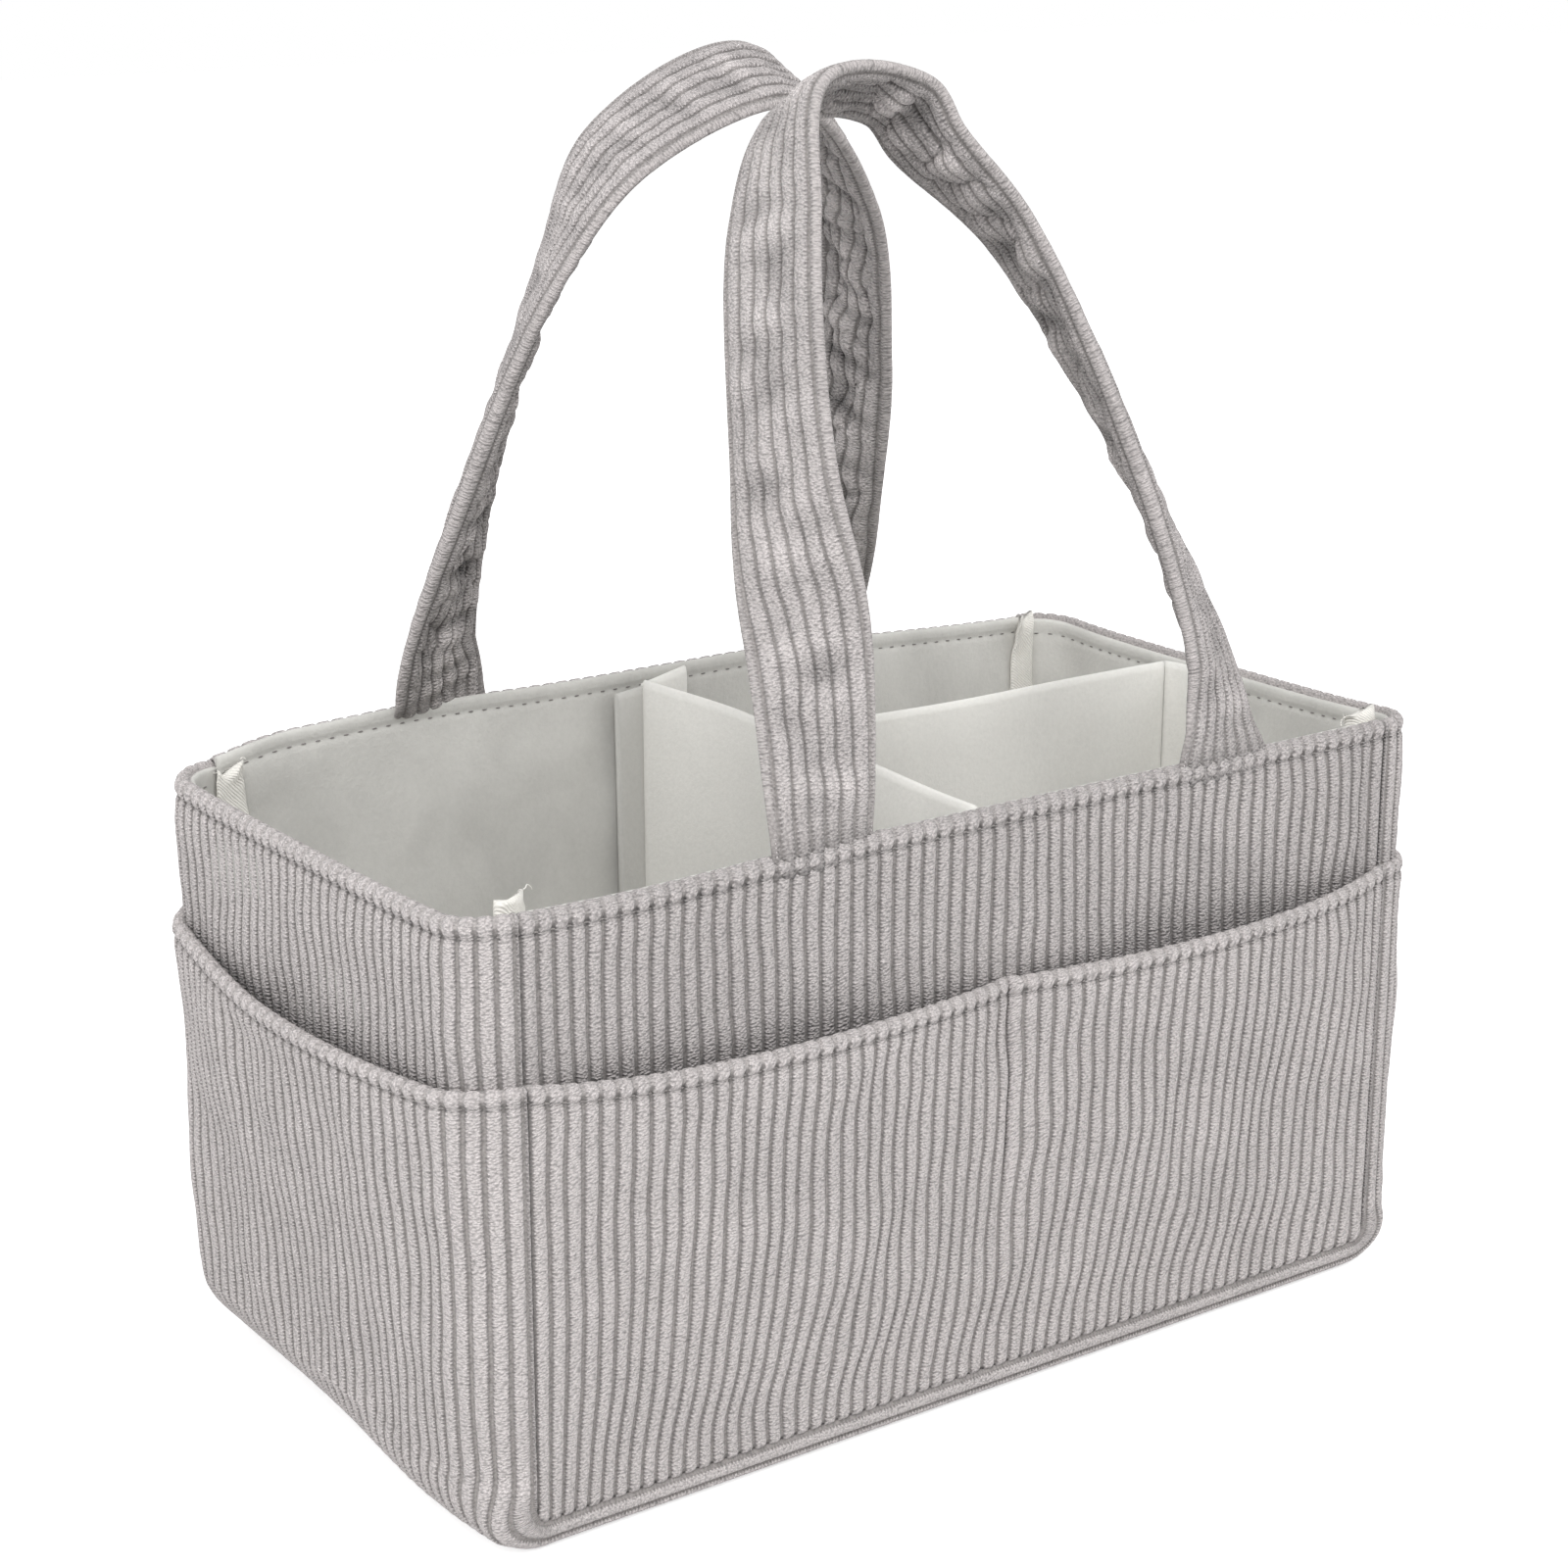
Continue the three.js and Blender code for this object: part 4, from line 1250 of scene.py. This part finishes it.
class CADDY_OT_dividers(bpy.types.Operator):
    """Makes the felt dividers with their end flaps"""

    bl_idname = "caddy.dividers"
    bl_label = "Dividers"

    def execute(self, context):
        felt = felt_material("felt_board", colours().board, 0.14)
        boards = self.cross_boards()
        mesh = joined("divider_cross_felt", boards)
        sew("divider_cross_felt", mesh, "cross_divider", felt, ["divider_cross"])
        x_end = HALF_LENGTH - FLAP_IN
        left = LONG_LEFT + DIVIDER / 2
        y0, y1, flap, fold = 17 * MM, 20 * MM, 18 * MM, 3 * MM
        line = [
            (left, y0 + flap), (left, y0 + fold), (left + fold, y0), (90 * MM, y0 + 1 * MM),
            (x_end - fold, y1), (x_end, y1 - fold), (x_end, y1 - flap),
        ]
        mesh = joined("divider_long_felt", [self.board("long", line, (4.7, 1.3), scored=(1, 4))])
        sew("divider_long_felt", mesh, "long_divider", felt, ["divider_long"])
        return {"FINISHED"}

    def cross_boards(self):
        """The cross divider, which bends to the left behind the long one, and the two flaps at each end."""
        y_end = HALF_WIDTH - FLAP_IN
        front_x, back_x, gap = 3 * MM, -8.6 * MM, 1.6 * MM
        line = [(front_x, gap - y_end), (-0.5 * MM, 0), (-1.5 * MM, 36 * MM), (back_x, y_end - gap)]
        boards = [self.board("cross", line, (2.6, 9.5))]
        for side, middle in ((FRONT, front_x), (BACK, back_x)):
            # Each flap that turns to the left is painted darker: the shade in its corner against the lining.
            for turn, reach, tops, shade in ((-1, 11 * MM, (7, 6), 0.3), (1, 18 * MM, (8, 11.5), 0.0)):
                path = [(middle, side * y_end), (middle + turn * reach, side * y_end)]
                boards.append(self.board("flap", path, tops if side == BACK else (1, 1), shade=shade))
        return boards

    def board(self, name, path, tops, scored=(), shade=0.0):
        """A felt board on a path in plan. Its foot rises towards the walls, and scored points fold it.

        Tops are the heights of its two ends over the other boards, in millimetres."""
        path = np.array(path)
        lengths = lengths_along(path)
        scores = lengths[list(scored)]
        beside = (scores[:, None] + np.array([-0.9, -0.5, 0, 0.5, 0.9]) * MM).ravel()
        ends = [0.4 * MM, lengths[-1] - 0.4 * MM]
        at = np.unique(np.concatenate([np.linspace(0, lengths[-1], 60), ends, beside]))
        plan = np.stack([np.interp(at, lengths, path[:, k]) for k in (0, 1)], 1)
        for _ in range(2):
            plan[1:-1] = (plan[:-2] + 2 * plan[1:-1] + plan[2:]) / 4
        tangent = unit(np.gradient(plan, axis=0))
        normal = np.stack([-tangent[:, 1], tangent[:, 0]], 1)
        foot = FLAP_FOOT if name == "flap" else DIVIDER_FOOT
        near = np.zeros(len(at))
        if name == "cross":
            near = smooth(np.abs(plan[:, 1]), HALF_WIDTH - 21 * MM, HALF_WIDTH - 11 * MM)
        if name == "long":
            near = smooth(plan[:, 0], CORNER_X, HALF_LENGTH - 10 * MM)
            near = np.maximum(near, 0.7 * (plan[:, 0] < LONG_LEFT + 2.5 * MM))
        z_foot = foot + near * (BASE_ROUND - foot)
        z_top = DIVIDER_TOP + np.interp(at, [0, lengths[-1]], tops) * MM + 0.5 * MM * drift(plan, 90 * MM, 81)
        sag = 0.8 * MM * drift(plan, 120 * MM, 82)
        # The section goes up one face, over the soft top edge and down the other face.
        count = 14
        side = np.concatenate([np.ones(count), [0.72, 0, -0.72], -np.ones(count), [-0.5, 0.5]])[None, :]
        rise, fall = np.linspace(0.01, 0.985, count), np.linspace(0.985, 0.01, count)
        share = np.concatenate([rise, [1, 1, 1], fall, [0, 0]])[None, :]
        dip = np.where(np.abs(side) == 0.72, 0.5 * MM, 0)
        taper = np.ones(len(at))
        taper[[0, -1]] = 0.55
        for score in scores:
            taper -= 0.7 * bell(at, score, 0.5 * MM)
            # Each scored fold gets a thin line of painted shade.
            shade = shade + 0.3 * bell(at, score, 0.7 * MM)[:, None]
        offset = side * DIVIDER / 2 * taper[:, None] + sag[:, None] * np.sin(math.pi * share)
        xy = plan[:, None] + normal[:, None] * offset[..., None]
        z = z_foot[:, None] + (z_top - z_foot)[:, None] * share - dip
        if name == "long":
            # Its right end leans out.
            xy[..., 0] += 3 * MM * (share - 0.6) * smooth(plan[:, :1], 60 * MM, HALF_LENGTH - 20 * MM)
        return tube_mesh(name, np.concatenate([xy, z[..., None]], -1), shade=shade + 0 * z)


class CADDY_OT_tapes(bpy.types.Operator):
    """Folds cotton tape over the inner seams, with frayed ends at the rim"""

    bl_idname = "caddy.tapes"
    bl_label = "Seam tapes"

    def execute(self, context):
        cotton = woven_material("cotton_twill", colours().tape, 0.9 * MM)
        for name, side in WALLS:
            tape = self.tape(name, side)
            sew(f"tape_{name}", tape, "basket", cotton, [f"seam_tape_{name}"])
        return {"FINISHED"}

    def path(self, side, top, width):
        """A tape's middle line on its wall: up one corner, along the foot and up the other corner."""
        x, z0, round_by = SEAM_X - 2.6 * MM, BASE_SEAM + width / 2 + 0.3 * MM, 14 * MM
        rise = np.arange(top, z0 + round_by, -2.5 * MM)
        bend = np.linspace(0, math.pi / 2, 9)
        run = np.linspace(x - round_by, 0, 50)[1:]
        px = np.concatenate([np.full(len(rise), x), x - round_by + round_by * np.cos(bend), run])
        pz = np.concatenate([rise, z0 + round_by - round_by * np.sin(bend), np.full(len(run), z0)])
        px = np.concatenate([px, -px[::-1][1:]])
        pz = np.concatenate([pz, pz[::-1][1:]])
        if side == BACK:
            # The left end leans into its corner, and the right one stands taller.
            px += 2.5 * MM * (px < 0) * (1 - smooth(pz, RIM - 24 * MM, RIM - 4 * MM))
            pz += 2.5 * MM * (px > 0) * smooth(pz, RIM - 40 * MM, RIM)
        return np.stack([px, pz], 1)

    def tape(self, name, side):
        """One tape: its flattened section along its path, and the loose threads at its ends."""
        top = high(f"seam_tape_{name}", Z) + (-2 if side == BACK else 1.5) * MM
        width = cloth().tape_width
        path = self.path(side, top, width)
        tangent = unit(np.gradient(path, axis=0))
        inward = np.stack([tangent[:, 1], -tangent[:, 0]], 1)
        length = lengths_along(path)
        spot = np.stack([length, 0 * length], 1)
        wave = drift(spot, 34 * MM, 91 + side)[:, None]
        near_top = smooth(path[:, 1], RIM - 16 * MM, top)[:, None]
        turns = np.linspace(0, 2 * math.pi, 33)[:-1]
        flat = (np.sign(np.cos(turns)) * np.abs(np.cos(turns)) ** 0.45)[None, :]
        fat = (np.sign(np.sin(turns)) * np.abs(np.sin(turns)) ** 0.7)[None, :]
        flare, tall = (-0.16, 1) if side == BACK else (0.15, 0.15)
        spread = 1 + flare * near_top + 0.06 * drift(spot, 15 * MM, 95 + side)[:, None]
        w = flat * (width / 2) * spread
        t = fat * (1.05 * MM + 0.2 * MM * near_top) + 0.35 * MM * flat * wave
        # The cut ends curl into the room, and the corner nearer the room's middle stands up.
        curl = near_top * (2.2 * MM * flat**2 + 0.8 * MM) + 1.2 * MM * near_top**3 * flat
        xz = path[:, None] + inward[:, None] * w[..., None]
        grain = np.stack(np.broadcast_arrays(flat * 4 * MM, length[:, None]), -1)
        horn = tall * (4.6 * MM * smooth(flat, 0.3, 1) + 2.6 * MM * smooth(-flat, 0.3, 1) - 2.6 * MM)
        z = xz[..., 1] + near_top**2 * (horn + 0.9 * MM * drift(grain, 6 * MM, 97))
        depth = ROOM_IN + 1.7 * MM + t + curl + near_top * 0.6 * MM * drift(grain, 7 * MM, 98 + side)
        rings = np.stack([xz[..., 0], side * (HALF_WIDTH - depth + lean(z)), z], -1)
        strands = []
        for ring in (rings[0], rings[-1]):
            for corner in np.random.default_rng(100 + side).choice(len(turns), 2 + side, replace=False):
                away = ring[corner] - ring.mean(0)
                strands.append(self.strand(ring[corner], away, len(strands) + 7 * side))
        return joined(f"tape_{name}", [tube_mesh(f"tape_{name}", rings), *strands])

    def strand(self, start, away, seed):
        """A loose thread that leaves a frayed end."""
        share = np.linspace(0, 1, 10)[:, None]
        random = np.random.default_rng(abs(seed))
        reach = random.uniform(3, 7) * MM
        fall = random.uniform(0.3, 1.1) * share**2
        path = start + reach * (share * (0.7 * unit(away) + 0.5 * UP) - fall * UP)
        waver = np.stack([drift(share + k, 0.8, 300 + abs(seed)) for k in range(3)], 1)
        path = path + 0.5 * MM * share * waver
        turns = np.linspace(0, 2 * math.pi, 6)[:-1]
        round_it = np.stack([np.cos(turns), np.sin(turns), 0.4 * np.sin(turns)], 1) * 0.2 * MM
        return tube_mesh("strand", path[:, None] + round_it)


class CADDY_OT_stitching(bpy.types.Operator):
    """Lays the top stitching of the rim, the hems and the pocket lines"""

    bl_idname = "caddy.stitching"
    bl_label = "Stitching"

    def execute(self, context):
        pitch = cloth().stitch_pitch
        thread = thread_material("thread", colours().thread, 1.0)
        # The felt's stitches take a darker copy of the thread: painted shade in the dents they sink into.
        deeper_shade = thread_material("sunk_thread", colours().thread, 0.6)
        kinds = (("cloth", thread, "corduroy", 0.78, 0.65), ("felt", deeper_shade, "felt", 0.36, 0.5))
        for key, kind, slot, share, thick in kinds:
            mesh = stitches_mesh(f"stitching_{key}", SEAMS[key], kind, pitch, share * pitch, thick * MM)
            sew(f"stitching_{key}", mesh, "basket")
        return {"FINISHED"}


class CADDY_OT_hidden(bpy.types.Operator):
    """Finishes the stiffening boards and the hook strips, which stay as the frame has them"""

    bl_idname = "caddy.hidden"
    bl_label = "Boards and hook strips"

    def execute(self, context):
        board = felt_material("stiff_board", (0.42, 0.41, 0.39), 0.2)
        hooks = woven_material("hook_strip", (0.62, 0.61, 0.58), 1.1 * MM, 0.6)
        for name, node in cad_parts.items():
            material = board if name.startswith("board_") else hooks if "_hook_" in name else None
            if material:
                node.data.materials.clear()
                node.data.materials.append(material)
        return {"FINISHED"}


class CADDY_OT_stage(bpy.types.Operator):
    """Sets the pale floor, the soft light and the camera"""

    bl_idname = "caddy.stage"
    bl_label = "Stage"

    def execute(self, context):
        self.floor()
        for name, (place, size, power) in LAMPS.items():
            self.light(name, place, size, power)
        world = bpy.data.worlds.new("studio")
        context.scene.world = world
        world.use_nodes = True
        tree = world.node_tree
        # The studio gives less light than the white that shows behind the caddy.
        strength = calc(tree, "ADD", 0.46, calc(tree, "MULTIPLY", self.seen(tree), 0.54))
        tree.links.new(strength, tree.nodes["Background"].inputs["Strength"])
        tree.nodes["Background"].inputs["Color"].default_value = (1, 1, 1, 1)
        self.camera()
        context.scene.view_settings.view_transform = "Standard"
        return {"FINISHED"}

    def seen(self, tree):
        """1 for rays that come straight, mirrored or refracted from the camera."""
        path = tree.nodes.new("ShaderNodeLightPath")
        rays = [path.outputs[key] for key in ("Is Camera Ray", "Is Glossy Ray", "Is Transmission Ray")]
        return calc(tree, "MAXIMUM", calc(tree, "MAXIMUM", rays[0], rays[1]), rays[2])

    def floor(self):
        """A wide floor that shows white but keeps the caddy's shadow."""
        size = 6
        corners = [(-size, -size, 0), (size, -size, 0), (size, size, 0), (-size, size, 0)]
        mesh = bpy.data.meshes.new("floor")
        mesh.from_pydata(corners, [], [(0, 1, 2, 3)])
        floor = add_object("floor", mesh)
        material = bpy.data.materials.new("floor")
        material.use_nodes = True
        tree = material.node_tree
        tree.nodes.remove(tree.nodes["Principled BSDF"])
        dull = add_node(tree, "ShaderNodeBsdfDiffuse", {"Color": (*colours().floor, 1)})
        strength = calc(tree, "MULTIPLY", self.seen(tree), 0.65)
        glow = add_node(tree, "ShaderNodeEmission", {"Strength": strength})
        both = add_node(tree, "ShaderNodeAddShader", {0: dull.outputs[0], 1: glow.outputs[0]})
        tree.links.new(both.outputs[0], tree.nodes["Material Output"].inputs["Surface"])
        mesh.materials.append(material)

    def light(self, name, place, size, power):
        """A soft square lamp turned to the caddy."""
        lamp = bpy.data.lights.new(name, "AREA")
        lamp.size = size
        lamp.energy = power
        back = unit(np.array(place) - np.array([0, 0, 0.15]))
        add_object(name, lamp).matrix_world = self.turned(back, UP, place)

    def turned(self, back, up, place):
        """A matrix that looks against the back vector from a place."""
        right = unit(np.cross(up, back))
        matrix = np.eye(4)
        matrix[:3, :3] = np.stack([right, np.cross(back, right), back], 1)
        matrix[:3, 3] = place
        return Matrix(matrix.tolist())

    def camera(self):
        """The camera at the photograph's place."""
        camera = bpy.data.cameras.new("camera")
        camera.lens = CAMERA_LENS
        camera.sensor_width = 36
        obj = add_object("camera", camera)
        azimuth, pitch, roll = (math.radians(angle) for angle in CAMERA_TURN)
        level = math.cos(pitch)
        back = np.array([math.sin(azimuth) * level, -math.cos(azimuth) * level, math.sin(pitch)])
        right = unit(np.cross(UP, back))
        up = np.cross(back, right) * math.cos(roll) + right * math.sin(roll)
        obj.matrix_world = self.turned(back, up, CAMERA_PLACE)
        bpy.context.scene.camera = obj


class CADDY_PT_panel(bpy.types.Panel):
    """Lists the caddy's pieces, sizes and colours"""

    bl_idname = "CADDY_PT_panel"
    bl_label = "Caddy"
    bl_space_type = "VIEW_3D"
    bl_region_type = "UI"
    bl_category = "Caddy"

    def draw(self, context):
        layout = self.layout
        for operator in OPERATORS:
            layout.operator(operator.bl_idname)
        for group in (cloth(), colours()):
            box = layout.box()
            for key in group.bl_rna.properties.keys():
                if key not in {"rna_type", "name"}:
                    box.prop(group, key)


# Lines of stitches that the cloth pieces leave for the stitching
SEAMS = {"cloth": [], "felt": []}
OPERATORS = (
    CADDY_OT_stage,
    CADDY_OT_shell,
    CADDY_OT_pockets,
    CADDY_OT_lining,
    CADDY_OT_tapes,
    CADDY_OT_dividers,
    CADDY_OT_handles,
    CADDY_OT_stitching,
    CADDY_OT_hidden,
)
CLASSES = (CaddyCloth, CaddyColours, *OPERATORS, CADDY_PT_panel)


def register():
    for cls in CLASSES:
        bpy.utils.register_class(cls)
    bpy.types.Scene.caddy_cloth = bpy.props.PointerProperty(type=CaddyCloth)
    bpy.types.Scene.caddy_colours = bpy.props.PointerProperty(type=CaddyColours)


def unregister():
    del bpy.types.Scene.caddy_colours
    del bpy.types.Scene.caddy_cloth
    for cls in reversed(CLASSES):
        bpy.utils.unregister_class(cls)


def main():
    register()
    bpy.ops.caddy.stage()
    bpy.ops.caddy.shell()
    bpy.ops.caddy.pockets()
    bpy.ops.caddy.lining()
    bpy.ops.caddy.tapes()
    bpy.ops.caddy.dividers()
    bpy.ops.caddy.handles()
    bpy.ops.caddy.stitching()
    bpy.ops.caddy.hidden()


if __name__ == "__main__":
    main()
